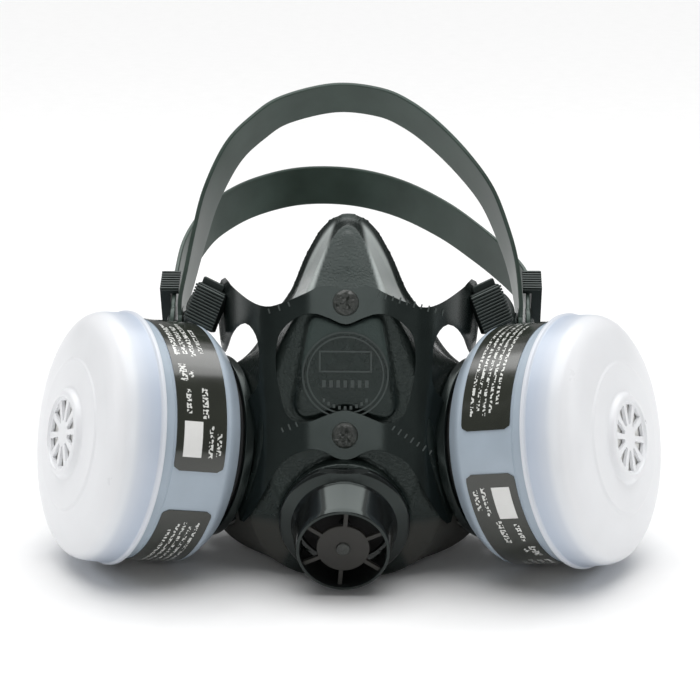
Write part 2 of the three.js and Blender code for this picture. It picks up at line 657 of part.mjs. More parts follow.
const outlet = new THREE.Group();
outlet.applyMatrix4(outletFrame);
outlet.add(
  piece("exhalation_valve_seat", exhalationSeat(), "plastic"),
  piece("exhalation_valve_flap", exhalationFlap(), "valve"),
);
root.add(
  outlet,
  piece("exhalation_guard", exhalationGuard(), "gloss"),
  piece("facepiece", clearOf(facepiece(), yokeBody), "rubber"),
  piece("cradle_yoke", yokeBody, "plastic"),
  piece("upper_stud", stud(STUD_HEIGHT, 0), "rubber"),
  piece("lower_stud", stud(-STUD_HEIGHT, 0), "rubber"),
  piece("crown_strap", strap(CROWN_PATH, CROWN_LEAN, CROWN_X, CROWN_TWIST), "strap"),
  piece("back_strap", strap(BACK_PATH, BACK_LEAN, BACK_X, BACK_TWIST), "strap"),
);

// the origin is the middle of the object's footprint, at its lowest point
root.updateMatrixWorld(true);
const extent = new THREE.Box3().setFromObject(root, true);
const middle = extent.getCenter(V(0, 0, 0));
root.position.set(-middle.x, -middle.y, -extent.min.z);

export default root;
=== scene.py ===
"""Half-mask respirator with two filter cartridges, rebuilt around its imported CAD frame."""
import json
import math

import bpy
from mathutils import Matrix, Vector, noise
from mathutils.geometry import delaunay_2d_cdt


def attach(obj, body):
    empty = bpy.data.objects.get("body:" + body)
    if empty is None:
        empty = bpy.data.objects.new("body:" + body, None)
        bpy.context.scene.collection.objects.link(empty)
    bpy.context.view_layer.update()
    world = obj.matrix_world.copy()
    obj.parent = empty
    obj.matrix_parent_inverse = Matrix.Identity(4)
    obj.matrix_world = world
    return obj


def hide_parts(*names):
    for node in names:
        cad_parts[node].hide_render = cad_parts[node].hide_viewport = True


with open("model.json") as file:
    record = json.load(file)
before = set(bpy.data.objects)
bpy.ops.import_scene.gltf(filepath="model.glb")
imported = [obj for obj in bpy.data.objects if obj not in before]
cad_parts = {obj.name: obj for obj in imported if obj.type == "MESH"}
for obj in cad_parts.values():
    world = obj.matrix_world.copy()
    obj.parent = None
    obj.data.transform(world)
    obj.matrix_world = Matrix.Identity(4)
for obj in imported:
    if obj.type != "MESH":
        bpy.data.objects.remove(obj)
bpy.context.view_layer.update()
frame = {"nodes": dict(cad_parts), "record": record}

# ---------- driving dimensions, in millimetres in the design frame ----------
PIVOT = (0, 57, 73)
COVER_CENTRE = (89.15, 0, 46.7)
CARTRIDGE_YAW = 27
CARTRIDGE_PITCH = 11.2
YOKE_CENTRE = (0, -4.4, 72.9)
YOKE_TILT = 14
OUTLET_BASE = (0, -14.6, 20.6)
OUTLET_PITCH = 15

GAP = 0.3  # between neighbouring pieces
TURN = 128  # facets of a turned piece
CUT_TURN = 96  # facets of a turned form that only cuts or joins
CORNER_STEPS = 4  # points that round a profile's corner
BODY_R = 43
COVER_R = 44.6
COVER_SKIRT = 8.4  # how far the cover reaches back over the body
FLANGE_R = 45.5
BOSS_R = 15
BOSS_RISE = 13.4
INLETS = 10
INLET_START_R = 4.6
NECK_R = 19.4
PORT_FACE = -45
PORT_RING_R = 33
PORT_BORE_R = 25
LABEL_WIDTH = 18.6
LABEL_MIDDLE = -22.4
YOKE_THICK = 2.2
YOKE_CREASE = 13  # half width of the flat between the side facets
YOKE_SLOPE = 0.13
YOKE_STRAIGHT = 26
YOKE_BEND = 0.0645
STUD_HEIGHT = 23.2
STUD_HEAD_R = 4.6
GUARD_LENGTH = 19.3
GUARD_BASE_R = 23
GUARD_RIM_R = 16.15
STRAP_WIDTH = 16
STRAP_THICK = 1.6
CROWN_X = 63.5
BACK_X = 66.5
CROWN_LEAN = (43, 84)
BACK_LEAN = (83, 40)
CROWN_TWIST = -22  # degrees each band is turned about its own run, most at the top
BACK_TWIST = -16

joints = {j["name"]: j for j in frame["record"]["behaviour"]["joints"]}
swing = joints["crown_strap_swing"]["pos_m"]
ORIGIN = Vector([1000 * swing[i] - PIVOT[i] for i in range(3)])  # design origin in the row frame


# ---------- mesh tools ----------
def basis(x, y, z, origin):
    m = Matrix((x, y, z)).transposed().to_4x4()
    m.translation = Vector(origin)
    return m


yaw = math.radians(CARTRIDGE_YAW)
pitch = math.radians(CARTRIDGE_PITCH)
axis_out = Vector((math.cos(pitch) * math.cos(yaw), -math.cos(pitch) * math.sin(yaw), math.sin(pitch)))
axis_back = Vector((0, 0, 1)).cross(axis_out).normalized()
axis_up = axis_out.cross(axis_back)
CARTRIDGE = {"right": basis(axis_back, axis_up, axis_out, COVER_CENTRE)}
CARTRIDGE["left"] = Matrix.Scale(-1, 4, Vector((1, 0, 0))) @ CARTRIDGE["right"]

tilt = math.radians(YOKE_TILT)
YOKE = basis(Vector((1, 0, 0)), Vector((0, math.sin(tilt), math.cos(tilt))),
             Vector((0, -math.cos(tilt), math.sin(tilt))), YOKE_CENTRE)
dip = math.radians(OUTLET_PITCH)
OUTLET = basis(Vector((1, 0, 0)), Vector((0, -math.sin(dip), math.cos(dip))),
               Vector((0, -math.cos(dip), -math.sin(dip))), OUTLET_BASE)
IDENTITY = Matrix.Identity(4)


def make(name, verts, faces, material, place=IDENTITY, sharp=40):
    """A smooth-shaded mesh object from millimetre points in the design frame."""
    points = [(place @ Vector(v) + ORIGIN) * 0.001 for v in verts]
    if place.determinant() < 0:
        faces = [tuple(reversed(f)) for f in faces]
    mesh = bpy.data.meshes.new(name)
    mesh.from_pydata([tuple(p) for p in points], [], faces)
    mesh.validate()
    mesh.shade_smooth()
    if sharp:
        mesh.set_sharp_from_angle(angle=math.radians(sharp))
    mesh.materials.append(material)
    obj = bpy.data.objects.new(name, mesh)
    bpy.context.scene.collection.objects.link(obj)
    return obj


def rounded(profile):
    """Rounds each corner of a polyline whose points are (x, y, radius)."""
    points = [Vector(p[:2]) for p in profile]
    radii = [p[2] if len(p) > 2 else 0 for p in profile]
    out = []
    for i, p in enumerate(points):
        if not radii[i] or i in (0, len(points) - 1):
            out.append(tuple(p))
            continue
        a = points[i - 1] - p
        b = points[i + 1] - p
        cut = min(radii[i], 0.45 * a.length, 0.45 * b.length)
        start = p + a.normalized() * cut
        end = p + b.normalized() * cut
        for k in range(CORNER_STEPS + 1):
            t = k / CORNER_STEPS
            out.append(tuple(start * (1 - t) ** 2 + p * 2 * t * (1 - t) + end * t ** 2))
    return out


def circle(x, y, r, count):
    return [(x + r * math.cos(2 * math.pi * k / count), y + r * math.sin(2 * math.pi * k / count))
            for k in range(count)]


def turned(profile, facets=TURN):
    """Verts and faces of a (radius, height) profile turned about local Z; it runs up the outside."""
    line = rounded(profile)
    closed = line[0][0] > 0
    verts = []
    rows = []
    for r, h in line:
        if r < 1e-6:
            rows.append([len(verts)])
            verts.append((0, 0, h))
        else:
            rows.append(list(range(len(verts), len(verts) + facets)))
            verts += [(x, y, h) for x, y in circle(0, 0, r, facets)]
    pairs = list(zip(rows, rows[1:]))
    if closed:
        pairs.append((rows[-1], rows[0]))
    faces = []
    for low, high in pairs:
        for k in range(facets):
            n = (k + 1) % facets
            if len(low) == 1 and len(high) == 1:
                continue
            if len(low) == 1:
                faces.append((low[0], high[n], high[k]))
            elif len(high) == 1:
                faces.append((low[k], low[n], high[0]))
            else:
                faces.append((low[k], low[n], high[n], high[k]))
    return verts, faces


def loft(rings):
    """Verts and faces through closed rings of points, with a fan at each end."""
    n = len(rings[0])
    verts = [tuple(p) for ring in rings for p in ring]
    faces = []
    for j in range(len(rings) - 1):
        for i in range(n):
            a = j * n + i
            b = j * n + (i + 1) % n
            faces.append((a, b, b + n, a + n))
    for j in (0, len(rings) - 1):
        centre = sum((Vector(p) for p in rings[j]), Vector()) / n
        verts.append(tuple(centre))
        c = len(verts) - 1
        for i in range(n):
            a = j * n + i
            b = j * n + (i + 1) % n
            faces.append((b, a, c) if j == 0 else (a, b, c))
    return verts, faces


def joined(*parts):
    """Several (verts, faces) pairs as one."""
    verts = []
    faces = []
    for v, f in parts:
        base = len(verts)
        verts += v
        faces += [tuple(base + i for i in face) for face in f]
    return verts, faces


def box(size, centre=(0, 0, 0), place=IDENTITY):
    """Verts and faces of a block."""
    hx, hy, hz = (s / 2 for s in size)
    verts = [tuple(place @ (Vector((x, y, z)) + Vector(centre)))
             for x in (-hx, hx) for y in (-hy, hy) for z in (-hz, hz)]
    faces = [(0, 1, 3, 2), (4, 6, 7, 5), (0, 4, 5, 1), (2, 3, 7, 6), (0, 2, 6, 4), (1, 5, 7, 3)]
    return verts, faces


def bevelled(obj, width, segments=3, angle=35):
    """Rounds the edges sharper than an angle, by a width in millimetres."""
    m = obj.modifiers.new("edges", "BEVEL")
    m.width = width * 0.001
    m.segments = segments
    m.limit_method = "ANGLE"
    m.angle_limit = math.radians(angle)
    m.harden_normals = True


def combine(obj, other, operation):
    """Applies a boolean with another object, which is then removed."""
    m = obj.modifiers.new("cut", "BOOLEAN")
    m.operation = operation
    m.object = other
    m.solver = "EXACT"
    bake(obj)
    bpy.data.objects.remove(other)


def bake(obj):
    """Replaces an object's mesh by its modifiers' result."""
    depsgraph = bpy.context.evaluated_depsgraph_get()
    mesh = bpy.data.meshes.new_from_object(obj.evaluated_get(depsgraph))
    obj.modifiers.clear()
    obj.data = mesh


def catmull(points, count, closed=False):
    """Evenly spaced points along a smooth spline through the given points."""
    pts = [Vector(p) for p in points]
    n = len(pts)
    dense = []
    spans = n if closed else n - 1
    for i in range(spans):
        p1, p2 = pts[i], pts[(i + 1) % n]
        p0 = pts[(i - 1) % n] if closed or i > 0 else p1 * 2 - p2
        p3 = pts[(i + 2) % n] if closed or i < n - 2 else p2 * 2 - p1
        for k in range(12):
            t = k / 12
            dense.append(0.5 * ((2 * p1) + (p2 - p0) * t + (2 * p0 - 5 * p1 + 4 * p2 - p3) * t ** 2
                                + (3 * p1 - p0 - 3 * p2 + p3) * t ** 3))
    dense.append(pts[0] if closed else pts[-1])
    lengths = [0]
    for a, b in zip(dense, dense[1:]):
        lengths.append(lengths[-1] + (b - a).length)
    out = []
    j = 0
    last = count if closed else count - 1
    for k in range(count):
        want = lengths[-1] * k / last
        while j < len(dense) - 2 and lengths[j + 1] < want:
            j += 1
        span = lengths[j + 1] - lengths[j]
        out.append(dense[j].lerp(dense[j + 1], (want - lengths[j]) / span if span else 0))
    return out


def mirrored(half):
    """A closed outline from its half, whose first and last points lie on the middle plane."""
    return [tuple(p) for p in half] + [(-p[0],) + tuple(p[1:]) for p in reversed(half[1:-1])]


def inside(p, ring):
    """Whether a flat point lies within a closed outline."""
    hit = False
    for (x0, y0), (x1, y1) in zip(ring, ring[1:] + ring[:1]):
        if (y0 > p[1]) != (y1 > p[1]) and p[0] < (x1 - x0) * (p[1] - y0) / (y1 - y0) + x0:
            hit = not hit
    return hit


def sheet_plate(outline, holes, thick, lift, grid=1.6):
    """A plate from an outline with holes, whose front lies at height lift(x)."""
    rings = [outline] + holes
    points = []
    edges = []
    for ring in rings:
        base = len(points)
        points += [Vector(p) for p in ring]
        edges += [(base + i, base + (i + 1) % len(ring)) for i in range(len(ring))]
    xs = [p[0] for p in outline]
    ys = [p[1] for p in outline]
    x = min(xs) + grid / 2
    while x < max(xs):
        y = min(ys) + grid / 2
        while y < max(ys):
            p = Vector((x, y))
            if inside(p, outline) and not any(inside(p, h) for h in holes):
                if min((p - Vector(q)).length for ring in rings for q in ring) > 0.6 * grid:
                    points.append(p)
            y += grid
        x += grid
    verts2, _, tris, *_ = delaunay_2d_cdt(points, edges, [], 0, 1e-5)
    keep = []
    for tri in tris:
        c = sum((verts2[i] for i in tri), Vector((0, 0))) / 3
        if inside(c, outline) and not any(inside(c, h) for h in holes):
            keep.append(tuple(tri))
    n = len(verts2)
    verts = [(v.x, v.y, lift(v.x)) for v in verts2]
    verts += [(v.x, v.y, lift(v.x) - thick) for v in verts2]
    faces = keep + [(c + n, b + n, a + n) for a, b, c in keep]
    count = {}
    for a, b, c in keep:
        for e in ((a, b), (b, c), (c, a)):
            count[e] = count.get(e, 0) + 1
    for (a, b) in list(count):
        if (b, a) not in count:
            faces.append((b, a, a + n, b + n))
    return verts, faces


# ---------- materials ----------
MOTTLE = 70  # patches of colour and gloss in a metre


def surface(name, colour, rough=0.5, spread=0.06, shade=0.2, grain=900.0, depth=0.05, coat=0.0,
            specular=0.5, tint=(1, 1, 1), subsurface=0.0):
    """A moulded surface: mottled colour, uneven gloss and fine grain in the bump."""
    mat = bpy.data.materials.new(name)
    mat.use_nodes = True
    nodes = mat.node_tree.nodes
    links = mat.node_tree.links
    shader = nodes["Principled BSDF"]
    where = nodes.new("ShaderNodeTexCoord")
    broad = nodes.new("ShaderNodeTexNoise")
    broad.inputs["Scale"].default_value = MOTTLE
    broad.inputs["Detail"].default_value = 6
    fine = nodes.new("ShaderNodeTexNoise")
    fine.inputs["Scale"].default_value = grain
    fine.inputs["Detail"].default_value = 3
    links.new(where.outputs["Object"], broad.inputs["Vector"])
    links.new(where.outputs["Object"], fine.inputs["Vector"])
    ramp = nodes.new("ShaderNodeValToRGB")
    low, high = ramp.color_ramp.elements
    low.position, high.position = 0.3, 0.7
    low.color = tuple(c * (1 - shade) for c in colour) + (1,)
    high.color = tuple(min(1, c * (1 + shade)) for c in colour) + (1,)
    links.new(broad.outputs["Fac"], ramp.inputs["Fac"])
    links.new(ramp.outputs["Color"], shader.inputs["Base Color"])
    gloss = nodes.new("ShaderNodeMapRange")
    gloss.inputs["To Min"].default_value = max(0.02, rough - spread)
    gloss.inputs["To Max"].default_value = rough + spread
    links.new(broad.outputs["Fac"], gloss.inputs["Value"])
    links.new(gloss.outputs["Result"], shader.inputs["Roughness"])
    bump = nodes.new("ShaderNodeBump")
    bump.inputs["Strength"].default_value = 0.6
    bump.inputs["Distance"].default_value = depth * 0.001
    links.new(fine.outputs["Fac"], bump.inputs["Height"])
    links.new(bump.outputs["Normal"], shader.inputs["Normal"])
    shader.inputs["Coat Weight"].default_value = coat
    shader.inputs["Coat Roughness"].default_value = 0.1
    shader.inputs["Specular IOR Level"].default_value = specular
    shader.inputs["Specular Tint"].default_value = tint + (1,)
    if subsurface:
        shader.inputs["Subsurface Weight"].default_value = subsurface
        shader.inputs["Subsurface Scale"].default_value = 0.004
    return mat


GREENISH = (0.86, 1.0, 0.96)
MATERIAL = {
    "pad": surface("smooth_silicone", (0.03, 0.042, 0.039), rough=0.42, depth=0.12, grain=1100),
    "strap": surface("strap_rubber", (0.04, 0.058, 0.048), rough=0.34, depth=0.02, grain=300,
                     specular=0.4, tint=GREENISH),
    "yoke": surface("satin_nylon", (0.006, 0.009, 0.0085), rough=0.24, depth=0.03, grain=1600,
                    specular=0.4, tint=GREENISH),
    "tab": surface("buckle_nylon", (0.012, 0.016, 0.015), rough=0.4, depth=0.03, grain=1500,
                   specular=0.35, tint=GREENISH),
    # ribs painted lighter than the tab: a painted highlight along the ribs
    "rib": surface("buckle_ribs_painted_highlight", (0.03, 0.036, 0.034), rough=0.3, depth=0.01, grain=1500,
                   tint=GREENISH),
    "guard": surface("polished_abs", (0.008, 0.009, 0.009), rough=0.14, spread=0.03, depth=0.004,
                     specular=0.45, tint=GREENISH),
    "grille": surface("matt_abs", (0.03, 0.029, 0.026), rough=0.5, depth=0.02, specular=0.3),
    "flap": surface("outlet_rubber", (0.01, 0.01, 0.01), rough=0.5, depth=0.02),
    "stud": surface("rough_rubber", (0.03, 0.034, 0.03), rough=0.4, depth=0.9, grain=650, shade=0.6),
    "canister": surface("canister_plastic", (0.39, 0.46, 0.53), rough=0.33, depth=0.01, shade=0.05,
                        grain=500),
    "paper": surface("printed_white", (0.8, 0.8, 0.78), rough=0.4, depth=0.0, shade=0.02),
    "felt": surface("filter_felt", (0.82, 0.82, 0.8), rough=0.95, depth=0.5, grain=1500, shade=0.06),
    "carbon": surface("sorbent_grain", (0.012, 0.012, 0.012), rough=0.8, depth=1.2, shade=0.5),
    "valve": surface("valve_rubber", (0.55, 0.47, 0.3), rough=0.45, depth=0.03, subsurface=0.2),
    "gasket": surface("gasket_rubber", (0.01, 0.011, 0.011), rough=0.6, depth=0.05),
}


def cover_material_with_painted_reflection():
    """Clouded polypropylene: the wall that wraps the cartridge is painted darker and bluer than the dome,
    a painted blue reflection on its side.
    """
    mat = surface("clouded_cover_painted_reflection", (0.84, 0.85, 0.87), rough=0.3, depth=0.01, shade=0.015, grain=400)
    nodes = mat.node_tree.nodes
    links = mat.node_tree.links
    shader = nodes["Principled BSDF"]
    where = nodes.new("ShaderNodeUVMap")
    where.uv_map = "height"
    split = nodes.new("ShaderNodeSeparateXYZ")
    links.new(where.outputs["UV"], split.inputs["Vector"])
    scale = nodes.new("ShaderNodeMapRange")
    scale.inputs["From Min"].default_value = -COVER_SKIRT
    scale.inputs["From Max"].default_value = 6.0
    links.new(split.outputs["X"], scale.inputs["Value"])
    ramp = nodes.new("ShaderNodeValToRGB")
    stops = ramp.color_ramp
    stops.elements[0].position = 0.0
    stops.elements[0].color = (0.85, 0.87, 0.9, 1)
    stops.elements[1].position = 1.0
    stops.elements[1].color = (1, 1, 1, 1)
    # the darker blue stops on the wall are a painted blue reflection; the pale stops near the top are the
    # dome's own colour
    for position, colour in ((0.11, (0.8, 0.83, 0.88)), (0.15, (0.6, 0.67, 0.77)),
                             (0.36, (0.64, 0.7, 0.79)), (0.62, (0.76, 0.8, 0.86)),
                             (0.76, (0.92, 0.94, 0.96))):
        stop = stops.elements.new(position)
        stop.color = colour + (1,)
    links.new(scale.outputs["Result"], ramp.inputs["Fac"])
    mix = nodes.new("ShaderNodeMix")
    mix.data_type = "RGBA"
    mix.blend_type = "MULTIPLY"
    mix.inputs["Factor"].default_value = 1
    links.new(shader.inputs["Base Color"].links[0].from_socket, mix.inputs["A"])
    links.new(ramp.outputs["Color"], mix.inputs["B"])
    links.new(mix.outputs["Result"], shader.inputs["Base Color"])
    return mat


COVER_WITH_PAINTED_REFLECTION = cover_material_with_painted_reflection()


def face_material():
    """Moulded silicone whose colour and gloss blend between the zones stored on the mesh; the red zone is
    a pale painted sheen, a painted highlight along the nose sides.
    """
    mat = surface("moulded_silicone_with_painted_sheen", (0.006, 0.009, 0.008), rough=0.27, depth=0.3, grain=1300,
                  shade=0.35, specular=0.35, tint=GREENISH)
    nodes = mat.node_tree.nodes
    links = mat.node_tree.links
    shader = nodes["Principled BSDF"]
    zone = nodes.new("ShaderNodeAttribute")
    zone.attribute_name = "zone"
    split = nodes.new("ShaderNodeSeparateColor")
    links.new(zone.outputs["Color"], split.inputs["Color"])
    # red: pale painted sheen along the nose sides, a painted highlight; green: smooth pad; blue: matt
    # chin
    for channel, colour, gloss in (("Red", (0.4, 0.43, 0.42), 0.16),
                                   ("Green", (0.03, 0.042, 0.039), 0.4),
                                   ("Blue", (0.042, 0.04, 0.036), 0.75)):
        paint = nodes.new("ShaderNodeMix")
        paint.data_type = "RGBA"
        paint.inputs["B"].default_value = colour + (1,)
        links.new(split.outputs[channel], paint.inputs["Factor"])
        links.new(shader.inputs["Base Color"].links[0].from_socket, paint.inputs["A"])
        links.new(paint.outputs["Result"], shader.inputs["Base Color"])
        rough = nodes.new("ShaderNodeMix")
        rough.inputs["B"].default_value = gloss
        links.new(split.outputs[channel], rough.inputs["Factor"])
        links.new(shader.inputs["Roughness"].links[0].from_socket, rough.inputs["A"])
        links.new(rough.outputs["Result"], shader.inputs["Roughness"])
    return mat


FACE_MATERIAL = face_material()


# ---------- cartridges ----------
def filter_cover(side):
    """The snap cover: a clouded dome with a ring of inlet windows in its middle."""
    outer = [
        (0, BOSS_RISE - 1.0), (BOSS_R - 2.4, BOSS_RISE - 1.0, 0.5), (BOSS_R - 2.0, BOSS_RISE, 0.4),
        (BOSS_R, BOSS_RISE - 0.3, 0.8), (BOSS_R + 1.2, BOSS_RISE - 2.4, 0.8), (26.4, 10.7, 0.5),
        (27.2, 10.1, 0.5), (34.5, 9.2, 2), (39.6, 7.6, 2.5), (43, 5, 2.5), (COVER_R - 0.3, 1.8, 1.5),
        (COVER_R + 0.1, -COVER_SKIRT + 1.9, 0.4), (FLANGE_R, -COVER_SKIRT + 1.3, 0.3),
        (FLANGE_R, -COVER_SKIRT, 0.3), (BODY_R + GAP, -COVER_SKIRT, 0.1),
    ]
    inner = [
        (BODY_R + GAP, 0.6, 1), (41.6, 3.6, 1), (38.4, 6.4, 2), (33.6, 7.8, 2), (27, 8.7, 1),
        (24, 9, 1), (BOSS_R - 1.8, 9, 0.2), (BOSS_R - 2, BOSS_RISE - 2.2, 0.3), (0, BOSS_RISE - 2.2),
    ]
    profile = (outer + inner)[::-1]
    piece = make(side + "_snap_cover", *turned(profile), COVER_WITH_PAINTED_REFLECTION, CARTRIDGE[side])
    wedges = []
    half = math.pi / INLETS - 0.1
    near = INLET_START_R
    far = BOSS_R - 3
    for i in range(INLETS):
        a = 2 * math.pi * i / INLETS
        quad = [(near, a - half * 0.6), (far, a - half), (far, a + half), (near, a + half * 0.6)]
        ring = [(r * math.cos(t), r * math.sin(t)) for r, t in quad]
        rings = [[(x, y, h) for x, y in ring] for h in (BOSS_RISE - 8, BOSS_RISE + 4)]
        wedges.append(loft(rings))
    cutter = make("inlets", *joined(*wedges), COVER_WITH_PAINTED_REFLECTION, CARTRIDGE[side], sharp=0)
    combine(piece, cutter, "DIFFERENCE")
    piece.data.set_sharp_from_angle(angle=math.radians(30))
    into = CARTRIDGE[side].inverted()
    layer = piece.data.uv_layers.new(name="height")
    for loop in piece.data.loops:
        local = into @ (Vector(piece.data.vertices[loop.vertex_index].co) * 1000 - ORIGIN)
        layer.data[loop.index].uv = (local.z, math.hypot(local.x, local.y))
    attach(piece, side + "_cover")
    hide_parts(side + "_filter_cover")


def felt_face(side):
    """The raised middle of the filter pad, just under the inlet windows."""
    top = BOSS_RISE - 2.6
    profile = [(0, 8.6), (BOSS_R - 2.4, 8.6, 0.3), (BOSS_R - 2.4, top, 0.6), (0, top)]
    piece = make(side + "_felt_face", *turned(profile, 72), MATERIAL["felt"], CARTRIDGE[side])
    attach(piece, side + "_cartridge")


def cartridge_body(side):
    """The open canister with its threaded neck and the parting line round it."""
    profile = [
        (BODY_R - 1.6, -1.5, 0.3), (BODY_R - 1.6, -33.1, 1), (36.8, -37.9, 1), (16.6, -37.9, 0.4),
        (16.6, -54, 0.3),
        (NECK_R, -54, 0.5), (NECK_R, -41.1, 0.4), (NECK_R + 2.4, -39.5, 0.4), (38, -39.5, 1.2),
        (BODY_R - 0.9, -34.9, 1.2), (BODY_R, -33.4, 1),
        (BODY_R, -12.9, 0.2), (BODY_R - 0.25, -12.7, 0.1),
        (BODY_R - 0.25, -12.3, 0.1), (BODY_R, -12.1, 0.2), (BODY_R, -1.5, 0.4),
    ]
    piece = make(side + "_canister", *turned(profile), MATERIAL["canister"], CARTRIDGE[side])
    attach(piece, side + "_cartridge")
    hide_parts(side + "_cartridge_body")


def label_material(name, rows):
    """Olive printed film with rows of pale broken marks that spell nothing."""
    mat = surface(name, (0.02, 0.023, 0.016), rough=0.16, spread=0.03, depth=0.004, coat=0.7, shade=0.2)
    nodes = mat.node_tree.nodes
    links = mat.node_tree.links
    shader = nodes["Principled BSDF"]
    uv = nodes.new("ShaderNodeUVMap")
    uv.uv_map = "print"
    split = nodes.new("ShaderNodeSeparateXYZ")
    links.new(uv.outputs["UV"], split.inputs["Vector"])

    def maths(operation, a, b):
        node = nodes.new("ShaderNodeMath")
        node.operation = operation
        for socket, value in zip(node.inputs, (a, b)):
            if isinstance(value, (int, float)):
                socket.default_value = value
            else:
                links.new(value, socket)
        return node.outputs[0]

    def between(value, low, high):
        return maths("MULTIPLY", maths("GREATER_THAN", value, low), maths("LESS_THAN", value, high))

    across = split.outputs["X"]  # millimetres across the label
    along = split.outputs["Y"]  # millimetres round the body from the label's first end
    marks = None
    noise = nodes.new("ShaderNodeTexNoise")
    noise.noise_dimensions = "2D"
    noise.inputs["Scale"].default_value = 1.0
    noise.inputs["Detail"].default_value = 0
    stretch = nodes.new("ShaderNodeCombineXYZ")
    links.new(maths("MULTIPLY", along, 1.15), stretch.inputs["X"])
    links.new(maths("MULTIPLY", across, 0.9), stretch.inputs["Y"])
    links.new(stretch.outputs["Vector"], noise.inputs["Vector"])
    glyph = maths("GREATER_THAN", noise.outputs["Fac"], 0.5)
    for low, high, start, stop in rows:
        bar = maths("MULTIPLY", between(across, low, high), between(along, start, stop))
        bar = maths("MULTIPLY", bar, glyph)
        marks = bar if marks is None else maths("MAXIMUM", marks, bar)
    mix = nodes.new("ShaderNodeMix")
    mix.data_type = "RGBA"
    old = shader.inputs["Base Color"].links[0].from_socket
    links.new(marks, mix.inputs["Factor"])
    links.new(old, mix.inputs["A"])
    mix.inputs["B"].default_value = (0.72, 0.73, 0.7, 1)
    links.new(mix.outputs["Result"], shader.inputs["Base Color"])
    return mat


def label(side, which, start, stop, rows, box_at):
    """A film round part of the body, from the end that shows at start round to stop, in degrees."""
    inner = BODY_R + 0.1
    outer = BODY_R + 0.32
    corner = 2.2
    steps = 90
    low = LABEL_MIDDLE - LABEL_WIDTH / 2
    high = LABEL_MIDDLE + LABEL_WIDTH / 2
    direction = 1 if stop > start else -1
    length = abs(math.radians(stop - start)) * outer
    verts = []
    coords = []
    cells = 10
    for i in range(steps + 1):
        s = length * (i / steps)
        gap = min(s, length - s)
        cut = corner - math.sqrt(max(0, corner ** 2 - (corner - gap) ** 2)) if gap < corner else 0
        a = math.radians(start) + direction * s / outer
        for r in (inner, outer):
            for k in range(cells + 1):
                h = low + cut + (high - low - 2 * cut) * k / cells
                verts.append((-r * math.sin(a), r * math.cos(a), h))
                coords.append((h - low, s))
    row = 2 * (cells + 1)
    faces = []
    for i in range(steps):
        for layer in (0, 1):
            for k in range(cells):
                a = i * row + layer * (cells + 1) + k
                quad = (a, a + 1, a + 1 + row, a + row)
                flip = (layer == 0) != (direction > 0)
                faces.append(quad if flip else quad[::-1])
        for k in (0, cells):
            a = i * row + k
            b = a + cells + 1
            quad = (a, a + row, b + row, b)
            flip = (k == 0) != (direction > 0)
            faces.append(quad if flip else quad[::-1])
    for i in (0, steps):
        for k in range(cells):
            a = i * row + k
            b = a + cells + 1
            quad = (a, b, b + 1, a + 1)
            flip = (i == 0) != (direction > 0)
            faces.append(quad if flip else quad[::-1])
    mat = label_material(side + "_" + which + "_film", rows)
    piece = make(side + "_" + which + "_print", verts, faces, mat, CARTRIDGE[side])
    layer = piece.data.uv_layers.new(name="print")
    for loop in piece.data.loops:
        layer.data[loop.index].uv = coords[loop.vertex_index]
    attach(piece, side + "_cartridge")
    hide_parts(side + "_label_" + which)
    if box_at:
        h0, h1, s0, s1 = box_at
        patch = []
        for layer_r in (outer + 0.05, outer + 0.09):
            for i in range(9):
                a = math.radians(start) + direction * (s0 + (s1 - s0) * i / 8) / outer
                x, y = -layer_r * math.sin(a), layer_r * math.cos(a)
                patch.append([(x, y, low + h) for h in (h0, h1)])
        rings = [[patch[i][0], patch[i][1], patch[i + 9][1], patch[i + 9][0]] for i in range(9)]
        name = side + "_" + which + "_plain_box"
        plain = make(name, *loft(rings), MATERIAL["paper"], CARTRIDGE[side])
        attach(plain, side + "_cartridge")


def port(side):
    """The black gasket between the cartridge and the mask."""
    profile = [
        (NECK_R + 3, PORT_FACE + GAP, 0.3), (30.4, PORT_FACE + GAP, 0.5), (31, -43.6, 0.5),
        (30.2, -42.4, 0.4), (31, -41.2, 0.5), (30.4, -39.8, 0.5), (NECK_R + 3, -39.8, 0.3),
    ]
    piece = make(side + "_gasket", *turned(profile), MATERIAL["gasket"], CARTRIDGE[side])
    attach(piece, side + "_thread")
    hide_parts(side + "_connector_gasket")


# where each label runs from and to, in degrees round the body
LABELS = {
    "right": {"upper": (70, -60), "lower": (90, 240)},
    "left": {"upper": (90, -60), "lower": (110, 250)},
}
# rows of marks: from and to across the label, then from and to round the body, in millimetres
SMALL_ROWS = [(3.2, 4.3, 5, 62), (5.6, 6.7, 7, 70), (8.0, 9.1, 5, 58), (10.4, 11.5, 6, 66),
              (12.8, 13.9, 9, 50)]
LARGE_ROWS = [(13.1, 15.0, 20, 28.8), (6.8, 9.0, 18.4, 29.6), (4.8, 6.4, 4.8, 16),
              (1.7, 3.4, 5.6, 13.6), (13.6, 16.4, 32, 39), (11.2, 13.0, 33.6, 36.5), (14.6, 16.6, 43, 64),
              (11.6, 13.4, 44, 62), (8.6, 10.4, 43, 66), (5.4, 7.0, 45, 60)]
PLAIN_BOX = (9.0, 15.9, 4.9, 17.3)  # a pale box on the same terms
for side in ("right", "left"):
    filter_cover(side)
    felt_face(side)
    cartridge_body(side)
    port(side)
    marked = "lower" if side == "right" else "upper"
    for which, (start, stop) in LABELS[side].items():
        rows = LARGE_ROWS if which == marked else SMALL_ROWS
        label(side, which, start, stop, rows, PLAIN_BOX if which == marked else None)

